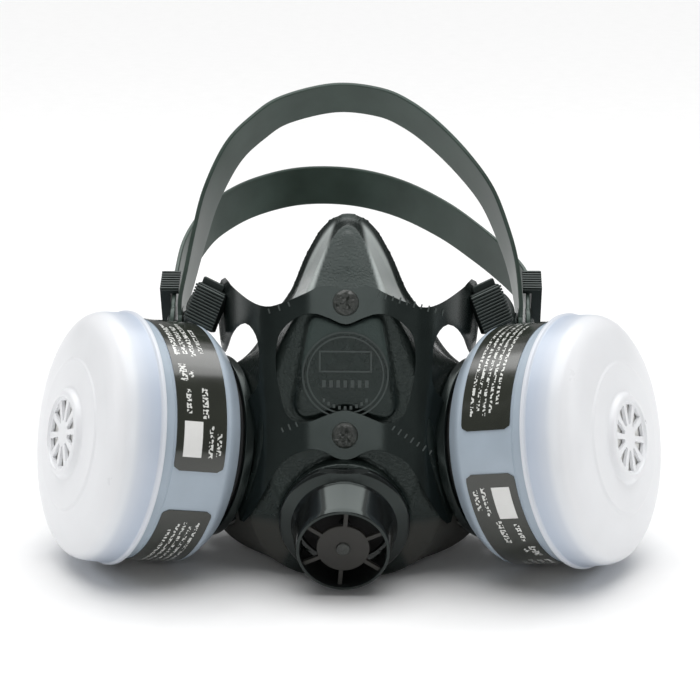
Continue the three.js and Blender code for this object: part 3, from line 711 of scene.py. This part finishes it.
# ---------- cradle yoke ----------
YOKE_OUTLINE = [
    (0, 28.2), (4, 28.6), (7.6, 29.2), (10.5, 28.5), (13.3, 26.9), (22, 23.2), (28, 21.8), (34, 23.8),
    (41.4, 29.2), (44.5, 32.6), (47, 31), (47.8, 25), (47.4, 16), (46.4, 9), (44.8, 5.4), (43.2, 7.4),
    (41.4, 11.8), (38.4, 15.2), (35, 15.6), (31.6, 11), (30.4, 3), (31, -6), (35.6, -13), (37.6, -26),
    (38.4, -40), (37.6, -54), (33.6, -52), (28.2, -43), (24.6, -36.6), (21.6, -32.4), (16, -29.3),
    (10.8, -28.1), (6.4, -29.3), (3.4, -31), (0, -31.8),
]
YOKE_OPENING = [
    (0, 15.7), (6, 17.9), (11, 19.4), (16, 18.6), (21, 15.2), (23.8, 11), (24.5, 5), (24.4, 0),
    (23.3, -7.5), (21.8, -13.4), (19.4, -17.5), (15.5, -19.1), (12, -18.5), (6.4, -16.2), (0, -14.5),
]


def yoke_lift(x):
    """Height of the yoke's front at x: flat in the middle, then sloping, then curving back."""
    past = max(0, abs(x) - YOKE_CREASE)
    far = max(0, abs(x) - YOKE_STRAIGHT)
    return -YOKE_SLOPE * past - YOKE_BEND * far ** 2


def flat_ring(half, count):
    """A smooth flat outline from its half."""
    return [(p.x, p.y) for p in catmull([(x, y, 0) for x, y in mirrored(half)], count, closed=True)]


def cradle():
    """The yoke plate that carries both cartridge ports and the strap buckles."""
    holes = [flat_ring(YOKE_OPENING, 110)]
    holes += [circle(0, s * STUD_HEIGHT, 2.7, 20) for s in (-1, 1)]
    plate = sheet_plate(flat_ring(YOKE_OUTLINE, 220), holes, YOKE_THICK, yoke_lift)
    frame_piece = make("cradle_frame", *plate, MATERIAL["yoke"], YOKE, sharp=30)
    for side in ("right", "left"):
        cutter = turned([(0, PORT_FACE - 20), (PORT_BORE_R, PORT_FACE - 20), (PORT_BORE_R, PORT_FACE),
                         (PORT_RING_R - 1.6, PORT_FACE), (PORT_RING_R - 1.6, 0), (0, 0)], CUT_TURN)
        port_cut = make("port_cut", *cutter, MATERIAL["yoke"], CARTRIDGE[side], sharp=0)
        combine(frame_piece, port_cut, "DIFFERENCE")
    frame_piece.data.set_sharp_from_angle(angle=math.radians(25))
    bevelled(frame_piece, 0.45, angle=50)
    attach(frame_piece, "mask")
    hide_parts("cradle_yoke")
    for side in ("right", "left"):
        profile = [
            (PORT_BORE_R, PORT_FACE - 2.2, 0.3), (PORT_RING_R, PORT_FACE - 2.2, 0.5),
            (PORT_RING_R, PORT_FACE + 1.2, 0.4), (PORT_RING_R - 1.5, PORT_FACE + 1.2, 0.4),
            (PORT_RING_R - 1.8, PORT_FACE, 0.3), (PORT_BORE_R, PORT_FACE, 0.3),
        ]
        ring = make(side + "_port_ring", *turned(profile), MATERIAL["yoke"], CARTRIDGE[side])
        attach(ring, "mask")


def studs():
    """The two rubber buttons that hold the facepiece in the yoke, with rough tops."""
    head = [(0.001, 2.5)] + [(0.35 * k, 2.5) for k in range(1, 10)]
    head += [(3.6, 2.3), (4.1, 1.9), (4.4, 1.4)]
    profile = [(0, -YOKE_THICK), (2.4, -YOKE_THICK), (2.4, 0.2), (STUD_HEAD_R, 0.2), (STUD_HEAD_R, 0.8)]
    for name, s in (("upper", 1), ("lower", -1)):
        verts, faces = turned(profile + head[::-1][:-1] + [(0, 2.5)], 48)
        lumpy = []
        for v in verts:
            reach = max(0.0, v[2] - 0.9) / 1.6
            broad = noise.noise(Vector((v[0] * 0.9, v[1] * 0.9, 7 * s)))
            lump = broad + 0.6 * noise.noise(Vector(v) * 2.1)
            lumpy.append((v[0], v[1], v[2] + reach * (0.75 * lump - 0.25)))
        piece = make(name + "_button", lumpy, faces, MATERIAL["stud"],
                     YOKE @ Matrix.Translation((0, s * STUD_HEIGHT, 0)), sharp=60)
        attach(piece, "mask")
        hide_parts(name + "_stud")


def yoke_marks():
    """Short raised dashes along the yoke's arms."""
    rows = [((11.5, 26.2), (34, 20.0), 10), ((-27, 20.2), (-20, 22.6), 3),
            ((-22, -21.5), (-17, -19.5), 3), ((17, -20.5), (30, -29), 7)]
    dashes = []
    for (x0, y0), (x1, y1), count in rows:
        lean_angle = math.atan2(y1 - y0, x1 - x0)
        for i in range(count):
            x = x0 + (x1 - x0) * i / (count - 1)
            y = y0 + (y1 - y0) * i / (count - 1)
            place = Matrix.Translation((x, y, yoke_lift(x))) @ Matrix.Rotation(lean_angle, 4, "Z")
            dashes.append(box((0.55, 1.7 + 0.5 * (i % 2), 0.5), (0, 0, 0), place))
    marks = make("yoke_dashes", *joined(*dashes), MATERIAL["pad"], YOKE)
    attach(marks, "mask")


cradle()
studs()
yoke_marks()

# ---------- facepiece ----------
# half outlines from the chin round the cheek to the nose, from the seal edge forwards
FACE_RINGS = {
    "seal": [
        (0, 38, 2), (20, 44, 3.5), (38, 56, 13), (50, 66, 32), (49, 67, 47), (40, 62, 59),
        (32, 58, 68), (21, 50, 84), (16.5, 45.5, 93), (11.4, 41, 106), (6, 37.5, 115.6),
        (0, 35.5, 119),
    ],
    "flange": [
        (0, 24, -2), (26, 29, -1.5), (50, 42, 8), (62.5, 50, 32), (59, 50, 48), (44, 48, 60),
        (35.8, 46, 68), (26, 43, 84.4), (21.3, 39.5, 92), (15.6, 36.5, 106), (8.4, 35, 117.6),
        (0, 34, 121.6),
    ],
    "groove": [
        (0, 20, -2), (25.5, 25, -1.8), (49, 38, 8), (61, 46, 32), (57.6, 45.5, 48), (43, 43.5, 60),
        (34.4, 41, 68), (24.4, 39, 84.4), (19.6, 36.4, 92), (14.2, 34, 105.4), (7.4, 33, 116),
        (0, 32.6, 120),
    ],
    "band": [
        (0, 5, -2.6), (25, 9, -2), (46, 17, 7), (52, 20, 32), (50, 20.5, 50), (47, 21.5, 60),
        (42, 22, 67), (33, 22.5, 73), (24, 25, 83), (18.6, 27.5, 92), (13.2, 29.5, 104),
        (7, 31, 114.6), (0, 31, 119.4),
    ],
    "front": [
        (0, -9, -2), (17, -8, -1), (30, -7, 9), (36, -8, 32), (33.5, -5, 54), (25, 0, 76),
        (16.4, 4.2, 93), (10.8, 12.5, 104.6), (5.8, 21.5, 114), (0, 26, 118.4),
    ],
    "face": [
        (0, -15, 8), (11, -15, 10), (20, -14.5, 18), (23, -13, 34), (21, -9, 54), (17, -4, 73),
        (14, 2.6, 92.6), (9.2, 11.4, 103.2), (4.8, 20.4, 112.4), (0, 24.4, 116.6),
    ],
}
WALL = 2.6
RING_POINTS = 144
RING_MIDDLE = 58  # height the outlines shrink towards
RIDGE_CROWN = 1.6
EMBLEM_HEIGHT = -2.1  # of the emblem circle, up the yoke's face from its centre
EMBLEM_R = 14.7
ARC_MARK_R = 11.6
NOSE_TOP = 118
SHEEN_BAND_TOP_X = 4.8  # half width between the painted sheen bands at the top of the nose
SHEEN_BAND_SPREAD = 0.35  # how much that grows with each mm down


def face_ring(name, inset=0.0, shift=0.0):
    """One face outline, drawn in by inset and moved back by shift."""
    ring = catmull(mirrored(FACE_RINGS[name]), RING_POINTS, closed=True)
    moved = []
    for p in ring:
        inward = Vector((-p.x, 0, RING_MIDDLE - p.z)).normalized()
        moved.append(p + inward * inset + Vector((0, shift, 0)))
    return moved


def between_rings(a, b, steps):
    return [[p.lerp(q, k / steps) for p, q in zip(a, b)] for k in range(steps)]


def face_form(name, inset, back_out, front_in):
    """A closed form through the face outlines; it narrows to a crowned ridge along the middle."""
    keys = [face_ring(n, inset, back_out if n == "seal" else 0) for n in FACE_RINGS]
    keys[-1] = face_ring("face", inset, front_in)
    rings = []
    for a, b in zip(keys, keys[1:]):
        rings += between_rings(a, b, 4)
    rings.append(keys[-1])
    for narrow in (0.8, 0.6, 0.4, 0.2, 0.04):
        crown = RIDGE_CROWN * (1 - narrow ** 2)
        rings.append([Vector((p.x * narrow, p.y - crown, p.z)) for p in keys[-1]])
    return make(name, *loft(rings), FACE_MATERIAL, sharp=0)


def ease(value, low, high):
    """0 below low, 1 above high and a smooth step between."""
    t = min(1.0, max(0.0, (value - low) / (high - low)))
    return t * t * (3 - 2 * t)


def paint_zones(mesh):
    """Stores where the nose sides carry a painted sheen, the smooth pad or the matt chin, as red, green
    and blue.
    """
    layer = mesh.color_attributes.new("zone", "FLOAT_COLOR", "POINT")
    into = YOKE.inverted()
    for vertex in mesh.vertices:
        p = Vector(vertex.co) * 1000 - ORIGIN
        q = into @ p
        # painted sheen: pale glossy bands along the nose sides stand in for the side lights' reflection
        edge = SHEEN_BAND_TOP_X + SHEEN_BAND_SPREAD * (NOSE_TOP - p.z)
        painted_sheen = ease(abs(p.x), edge - 0.6, edge + 0.9) * ease(q.y, 20, 24)
        painted_sheen *= 1 - ease(p.y, 31.5, 33.5)
        off_ring = ease(math.hypot(q.x, q.y - EMBLEM_HEIGHT), EMBLEM_R - 0.3, EMBLEM_R + 0.3)
        pad = ease(q.z, -1.9, -1.4) * (1 - ease(abs(q.x), 18, 20)) * ease(q.y, -4, 4) * off_ring
        pad *= 1 - ease(q.y, 19, 21)
        chin = ease(abs(p.x) + 0.4 * p.z, 22, 24.5) * (1 - ease(p.z, 17, 21))
        layer.data[vertex.index].color = (painted_sheen, pad, chin, 1)


def face_tool(name, shape, place=IDENTITY):
    """A form that a boolean uses up."""
    return make(name, *shape, FACE_MATERIAL, place, sharp=0)


def facepiece():
    """The rubber facepiece: outer form less hollow, then the pad, boss, bores and a flat chin."""
    body = face_form("moulded_facepiece", 0, 0, 0)
    hollow = face_form("face_hollow", WALL, 8, WALL)
    behind_yoke = YOKE @ Matrix.Translation((0, 0, -YOKE_THICK - GAP + 60))
    for form, deeper in ((body, 0), (hollow, WALL)):
        shift = Matrix.Translation((0, deeper, 0))
        front = box((240, 300, 120), (0, 0, 0), shift @ behind_yoke)
        combine(form, face_tool("behind_yoke", front), "DIFFERENCE")
        low = PORT_FACE - 2.5 - deeper
        beyond = turned([(0, low), (60, low), (60, 30), (0, 30)], CUT_TURN)
        for side in ("right", "left"):
            combine(form, face_tool("beyond", beyond, CARTRIDGE[side]), "DIFFERENCE")

    pad_half = [(0, 14.9), (4.6, 16.4), (9.4, 18.2), (12.2, 17.2), (13.6, 11), (15.8, -2), (17.6, -12),
                (15, -16.6), (10, -16.2), (0, -12.6)]
    pad_ring = flat_ring(pad_half, 90)
    pad = loft([[(x, y, h) for x, y in pad_ring] for h in (-12, -0.9)])
    combine(body, face_tool("pad_form", pad, YOKE), "UNION")
    boss_r = GUARD_BASE_R - 0.4
    boss = turned([(0, -14), (18, -14), (21, -6), (boss_r, -2), (boss_r, -GAP), (0, -GAP)], CUT_TURN)
    combine(body, face_tool("boss", boss, OUTLET), "UNION")
    combine(body, hollow, "DIFFERENCE")
    bore = turned([(0, -62), (29, -62), (29, -50.4), (PORT_BORE_R, -50.4), (PORT_BORE_R, 30), (0, 30)],
                  CUT_TURN)
    for side in ("right", "left"):
        combine(body, face_tool("bore", bore, CARTRIDGE[side]), "DIFFERENCE")
    clear_r = GUARD_BASE_R + 0.5
    outlet = turned([(0, -30), (17.4, -30), (17.4, -GAP), (clear_r, -GAP), (clear_r, 30), (0, 30)],
                    CUT_TURN)
    combine(body, face_tool("outlet_bore", outlet, OUTLET), "DIFFERENCE")
    combine(body, face_tool("under", box((300, 300, 20), (0, 0, -12.1))), "DIFFERENCE")

    remesh = body.modifiers.new("remesh", "REMESH")
    remesh.mode = "VOXEL"
    remesh.voxel_size = 0.0008
    smooth = body.modifiers.new("smooth", "SMOOTH")
    smooth.factor = 0.5
    smooth.iterations = 3
    bake(body)
    body.data.shade_smooth()
    paint_zones(body.data)
    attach(body, "mask")
    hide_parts("facepiece")

    rings = [turned([(r - 0.3, -1.2), (r + 0.3, -1.2), (r + 0.3, -0.55, 0.15), (r - 0.3, -0.55, 0.15)])
             for r in (15, 13.4)]
    bars = [box((18, 0.6, 0.7), (0, v, -0.85)) for v in (6.1, -0.9)]
    bars += [box((0.6, 7.6, 0.7), (u, 2.6, -0.85)) for u in (-9, 9)]
    bars += [box((1.3, 2.6, 0.6), (-7.5 + 2.5 * i, -5.2, -0.85)) for i in range(7)]
    for a in range(-40, 41, 10):
        across = ARC_MARK_R * math.sin(math.radians(a))
        up = EMBLEM_HEIGHT - ARC_MARK_R * math.cos(math.radians(a))
        bars.append(box((0.9, 1.3, 0.6), (across, up, -0.85)))
    marks = make("pad_marks", *joined(*bars), MATERIAL["pad"], YOKE)
    emblem = YOKE @ Matrix.Translation((0, EMBLEM_HEIGHT, 0))
    circles = make("pad_rings", *joined(*rings), MATERIAL["pad"], emblem)
    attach(circles, "mask")
    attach(marks, "mask")


facepiece()

# ---------- exhalation outlet ----------
GUARD_FLAT = 21.3  # of the flat on top of the guard's base, above its axis
GUARD_SHOULDER_R = 18.6  # where the base steps in to the cone
GUARD_WALL = 1.6
SPOKES = 6
SPOKE_START = 85
HUB_R = 9.2


def guard():
    """The exhalation guard: a flat-topped base, a cone and a spoked grille in its rim."""
    rim = GUARD_RIM_R - GUARD_WALL
    outer = [(0, 0), (GUARD_BASE_R - 0.3, 0, 0.2), (GUARD_BASE_R, 0.5, 0.3), (GUARD_BASE_R, 2.2, 0.4),
             (GUARD_BASE_R - 0.8, 2.9, 0.4), (GUARD_SHOULDER_R, 4.3, 0.3),
             (GUARD_RIM_R + 0.4, 17.3, 0.4), (GUARD_RIM_R, GUARD_LENGTH - 0.2, 0.3),
             (GUARD_RIM_R - 0.3, GUARD_LENGTH, 0.2), (0, GUARD_LENGTH)]
    inner = [(0, -1), (GUARD_BASE_R - 3.4, -1), (GUARD_BASE_R - 3.4, 1.2),
             (GUARD_SHOULDER_R - 1.8, 3.2), (rim + 0.2, GUARD_LENGTH - 4),
             (rim + 0.7, GUARD_LENGTH + 1), (0, GUARD_LENGTH + 1)]
    shell = make("outlet_guard", *turned(outer, 144), MATERIAL["guard"], OUTLET, sharp=0)
    above = box((80, 40, 80), (0, GUARD_FLAT + 20, 9))
    above = make("above_flat", *above, MATERIAL["guard"], OUTLET, sharp=0)
    combine(shell, above, "DIFFERENCE")
    hollow = make("guard_hollow", *turned(inner, 144), MATERIAL["guard"], OUTLET, sharp=0)
    combine(shell, hollow, "DIFFERENCE")
    shell.data.set_sharp_from_angle(angle=math.radians(22))
    bevelled(shell, 0.25, segments=2, angle=30)
    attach(shell, "guard")
    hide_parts("exhalation_guard")

    high = GUARD_LENGTH - 1.6
    parts = [turned([(0, high - 1.6), (HUB_R, high - 1.6, 0.3), (HUB_R, high, 0.4), (0, high)], 72)]
    nub = turned([(0, high - 0.5), (2.6, high - 0.5, 0.3), (2.4, high + 0.7, 0.5), (0, high + 0.9)], 32)
    nub = make("grille_nub", *nub, MATERIAL["stud"], OUTLET)
    reach = rim - HUB_R + 1.6
    middle = (rim + HUB_R) / 2 + 0.2
    for i in range(SPOKES):
        a = math.radians(SPOKE_START + i * 360 / SPOKES)
        parts.append(box((reach, 1.5, 1.5), (middle, 0, high - 0.8), Matrix.Rotation(a, 4, "Z")))
    grille = make("outlet_grille", *joined(*parts), MATERIAL["grille"], OUTLET)
    bevelled(grille, 0.2, segments=2)
    for piece in (grille, nub):
        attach(piece, "guard")


guard()

# ---------- straps ----------
CROWN_PATH = [
    (-CROWN_X, 0), (-63.4, 9), (-61.2, 20), (-58, 35.5), (-53.8, 52), (-46, 69), (-36.4, 79.4),
    (-26, 86.5), (-7, 91.3), (10, 89.6), (21, 84.6), (31.5, 76.4), (42.5, 64.8), (51.6, 52),
    (57.7, 37), (61.4, 24), (63.4, 9), (CROWN_X, 0),
]
BACK_PATH = [
    (-BACK_X, 0), (-BACK_X, 12), (-66.4, 24), (-64.8, 43), (-60.5, 58.5), (-54.7, 69.8), (-43.2, 81.8),
    (-27.4, 90), (-12, 92.1), (4, 89.5), (20, 81.7), (35.9, 68.3), (48.2, 53.8), (57.5, 41), (64, 30),
    (66.4, 22), (BACK_X, 12), (BACK_X, 0),
]
END_STEPS = 300
END_TAPER = 6.0  # how much of the run, in those steps, narrows into each eye
END_ROUND = 9.0


def pivot_frame(x):
    """A frame on the strap pivot at x, with its Z along the pivot."""
    return basis(Vector((0, 1, 0)), Vector((0, 0, 1)), Vector((1, 0, 0)), (x, PIVOT[1], PIVOT[2]))


def strap(name, node, body, path, lean, x, twist):
    """A band swept along a path in its own leaning plane, with an eye on the pivot at each end."""
    rise = Vector((0, lean[0], lean[1])).normalized()
    wide = Vector((0, -rise.z, rise.y))
    start = Vector(PIVOT)
    steps = 150
    points = catmull([tuple(start + rise * h + Vector((u, 0, 0))) for u, h in path], steps + 1)
    t = STRAP_THICK / 2
    h = STRAP_WIDTH / 2
    r = 0.35
    half_section = [(t - r, -h), (t, -h + r), (t, -h / 2), (t * 0.9, 0), (t, h / 2), (t, h - r),
                    (t - r, h)]
    section = [(-t + r, -h)] + half_section + [(-a, b) for a, b in half_section[:0:-1]]
    rings = []
    for i, p in enumerate(points):
        along = (points[min(i + 1, steps)] - points[max(i - 1, 0)]).normalized()
        if i == 0:
            along = rise.copy()
        if i == steps:
            along = -rise
        s = i / steps
        flat = wide.cross(along).normalized()
        across = wide.copy()
        turn = Matrix.Rotation(math.radians(twist) * math.sin(math.pi * s), 3, along)
        flat = turn @ flat
        across = turn @ across
        to_end = min(s, 1 - s) * END_STEPS
        narrow = math.sqrt(1 - (max(0.0, END_TAPER - to_end) / END_ROUND) ** 2)
        rings.append([p + flat * a + across * (b * narrow) for a, b in section])
    piece = make(name, *loft(rings), MATERIAL["strap"], sharp=50)
    for sign in (-1, 1):
        place = pivot_frame(sign * x)
        eye = turned([(2.9, -t, 0.2), (h, -t, 0.3), (h, t, 0.3), (2.9, t, 0.2)], 64)
        hole = turned([(0, -4), (2.9, -4), (2.9, 4), (0, 4)], 48)
        hole = make("strap_hole", *hole, MATERIAL["strap"], place, sharp=0)
        combine(piece, hole, "DIFFERENCE")
        eye = make("strap_eye", *eye, MATERIAL["strap"], place, sharp=0)
        combine(piece, eye, "UNION")
    piece.data.set_sharp_from_angle(angle=math.radians(40))
    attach(piece, body)
    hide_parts(node)


strap("crown_band_rubber", "crown_strap", "crown_band", CROWN_PATH, CROWN_LEAN, CROWN_X, CROWN_TWIST)
strap("back_band_rubber", "back_strap", "back_band", BACK_PATH, BACK_LEAN, BACK_X, BACK_TWIST)

# ---------- strap buckles ----------
TAB_CENTRE = (51.4, 29.6, 87)
TAB_OUT = (0.42, -0.88, 0.22)
TAB_UP = (-0.36, 0.06, 0.93)
TAB_RIBS = 12
RIB_PITCH = 1.16
LINK_STEPS = 24
LINK_PATH = [(49.6, 28.6, 88), (53, 35, 87.5), (57, 42, 84.5), (60, 49.5, 79), (61, PIVOT[1], PIVOT[2])]


def buckle(side):
    """The ribbed tab at the end of a yoke arm, its link and the pivot pin both straps swing about."""
    flip = Matrix.Identity(4) if side == "right" else Matrix.Scale(-1, 4, Vector((1, 0, 0)))
    out = Vector(TAB_OUT).normalized()
    up = Vector(TAB_UP)
    up = (up - out * up.dot(out)).normalized()
    tab = flip @ basis(up.cross(out), up, out, TAB_CENTRE)
    block = joined(box((12.5, 15, 3.4)), box((9.5, 3.4, 1.6), (1.2, 8.2, -1)))
    body = make(side + "_tab", *block, MATERIAL["tab"], tab)
    bevelled(body, 0.6)
    lie = Matrix.Rotation(math.radians(90), 4, "Y")
    bars = []
    for i in range(TAB_RIBS):
        at = Matrix.Translation((0, (i - (TAB_RIBS - 1) / 2) * RIB_PITCH, 1.9)) @ lie
        verts, faces = turned([(0, -6.5), (0.46, -6.5, 0.3), (0.46, 6.5, 0.3), (0, 6.5)], 16)
        bars.append(([tuple(at @ Vector(v)) for v in verts], faces))
    ribs = make(side + "_tab_ribs", *joined(*bars), MATERIAL["rib"], tab)

    points = catmull(LINK_PATH, LINK_STEPS)
    last = LINK_STEPS - 1
    rings = []
    for i, p in enumerate(points):
        along = (points[min(i + 1, last)] - points[max(i - 1, 0)]).normalized()
        flat = (Vector((1, 0, 0)) - along * along.x).normalized()
        wide = along.cross(flat)
        section = ((-1.1, -5), (1.1, -5), (1.1, 5), (-1.1, 5))
        rings.append([p + flat * a + wide * b for a, b in section])
    link = make(side + "_link", *loft(rings), MATERIAL["tab"], flip)
    bevelled(link, 0.4)
    shoulder = CROWN_X - STRAP_THICK / 2 - GAP
    head = BACK_X + STRAP_THICK / 2 + GAP
    profile = [(0, 59.6), (6.2, 59.6, 0.3), (6.2, shoulder, 0.2), (2.5, shoulder), (2.5, head),
               (4.4, head, 0.2), (4.4, BACK_X + 1.9, 0.5), (3.4, BACK_X + 2.4, 0.3), (0, BACK_X + 2.4)]
    pin = make(side + "_pivot_pin", *turned(profile, 64), MATERIAL["tab"], flip @ pivot_frame(0))
    for piece in (body, ribs, link, pin):
        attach(piece, "mask")
    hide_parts(side + "_strap_buckle")


for side in ("right", "left"):
    buckle(side)

# ---------- carried-over CAD pieces ----------
CARRIED = {
    "_port_connector": "yoke", "_inhalation_flap": "valve", "_carbon_bed": "carbon",
    "_cartridge_lid": "canister", "_filter_pad": "felt", "_strap_slide": "tab",
    "exhalation_valve_seat": "guard", "exhalation_valve_flap": "flap",
}
for node, obj in frame["nodes"].items():
    key = next((v for k, v in CARRIED.items() if node.endswith(k)), None)
    if key:
        for slot in obj.material_slots:
            slot.material = MATERIAL[key]

# ---------- floor, light and camera ----------
CAMERA_AZIMUTH = 1.6
CAMERA_ELEVATION = 14
CAMERA_DISTANCE = 0.8
CAMERA_TARGET = Vector((1.5, 0, 78.7))
CAMERA_LENS = 117.1


def stage_floor():
    mat = surface("pale_floor", (0.9, 0.9, 0.9), rough=0.6, shade=0.01, depth=0.0)
    mesh = bpy.data.meshes.new("floor")
    half = 6.0
    corners = [(-half, -half, 0), (half, -half, 0), (half, half, 0), (-half, half, 0)]
    mesh.from_pydata(corners, [], [(0, 1, 2, 3)])
    mesh.materials.append(mat)
    floor = bpy.data.objects.new("floor", mesh)
    floor.location.z = -0.0002
    bpy.context.scene.collection.objects.link(floor)


def soft_light(name, size, energy, place, aim):
    light = bpy.data.lights.new(name, "AREA")
    light.shape = "RECTANGLE"
    light.size, light.size_y = size
    light.energy = energy
    obj = bpy.data.objects.new(name, light)
    obj.location = place
    obj.rotation_euler = (Vector(aim) - Vector(place)).to_track_quat("-Z", "Y").to_euler()
    bpy.context.scene.collection.objects.link(obj)


def camera():
    target = (CAMERA_TARGET + ORIGIN) * 0.001
    az = math.radians(CAMERA_AZIMUTH)
    el = math.radians(CAMERA_ELEVATION)
    away = Vector((math.sin(az) * math.cos(el), -math.cos(az) * math.cos(el), math.sin(el)))
    data = bpy.data.cameras.new("camera")
    data.lens = CAMERA_LENS
    data.sensor_width = 36
    obj = bpy.data.objects.new("camera", data)
    obj.location = target + away * CAMERA_DISTANCE
    obj.rotation_euler = (-away).to_track_quat("-Z", "Y").to_euler()
    bpy.context.scene.collection.objects.link(obj)
    bpy.context.scene.camera = obj


stage_floor()
sun = bpy.data.lights.new("sky", "SUN")
sun.energy = 2.95
sun.angle = math.radians(70)
sky = bpy.data.objects.new("sky", sun)
sky.rotation_euler = (math.radians(-8), 0, 0)
bpy.context.scene.collection.objects.link(sky)
soft_light("overhead", (2.2, 0.45), 1.9, (0, 0.4, 0.8), (0, 0, 0.05))
soft_light("left", (0.5, 0.7), 1.5, (-1.1, -0.1, 0.5), (0, 0, 0.05))
soft_light("right", (0.5, 0.7), 1.5, (1.1, -0.1, 0.5), (0, 0, 0.05))
soft_light("front", (0.35, 0.35), 1.2, (0.0, -1.15, 0.42), (0, 0, 0.06))
camera()

world = bpy.data.worlds.new("studio")
world.use_nodes = True
world.node_tree.nodes["Background"].inputs["Color"].default_value = (1, 1, 1, 1)
world.node_tree.nodes["Background"].inputs["Strength"].default_value = 0.2
bpy.context.scene.world = world
bpy.context.scene.view_settings.view_transform = "Standard"
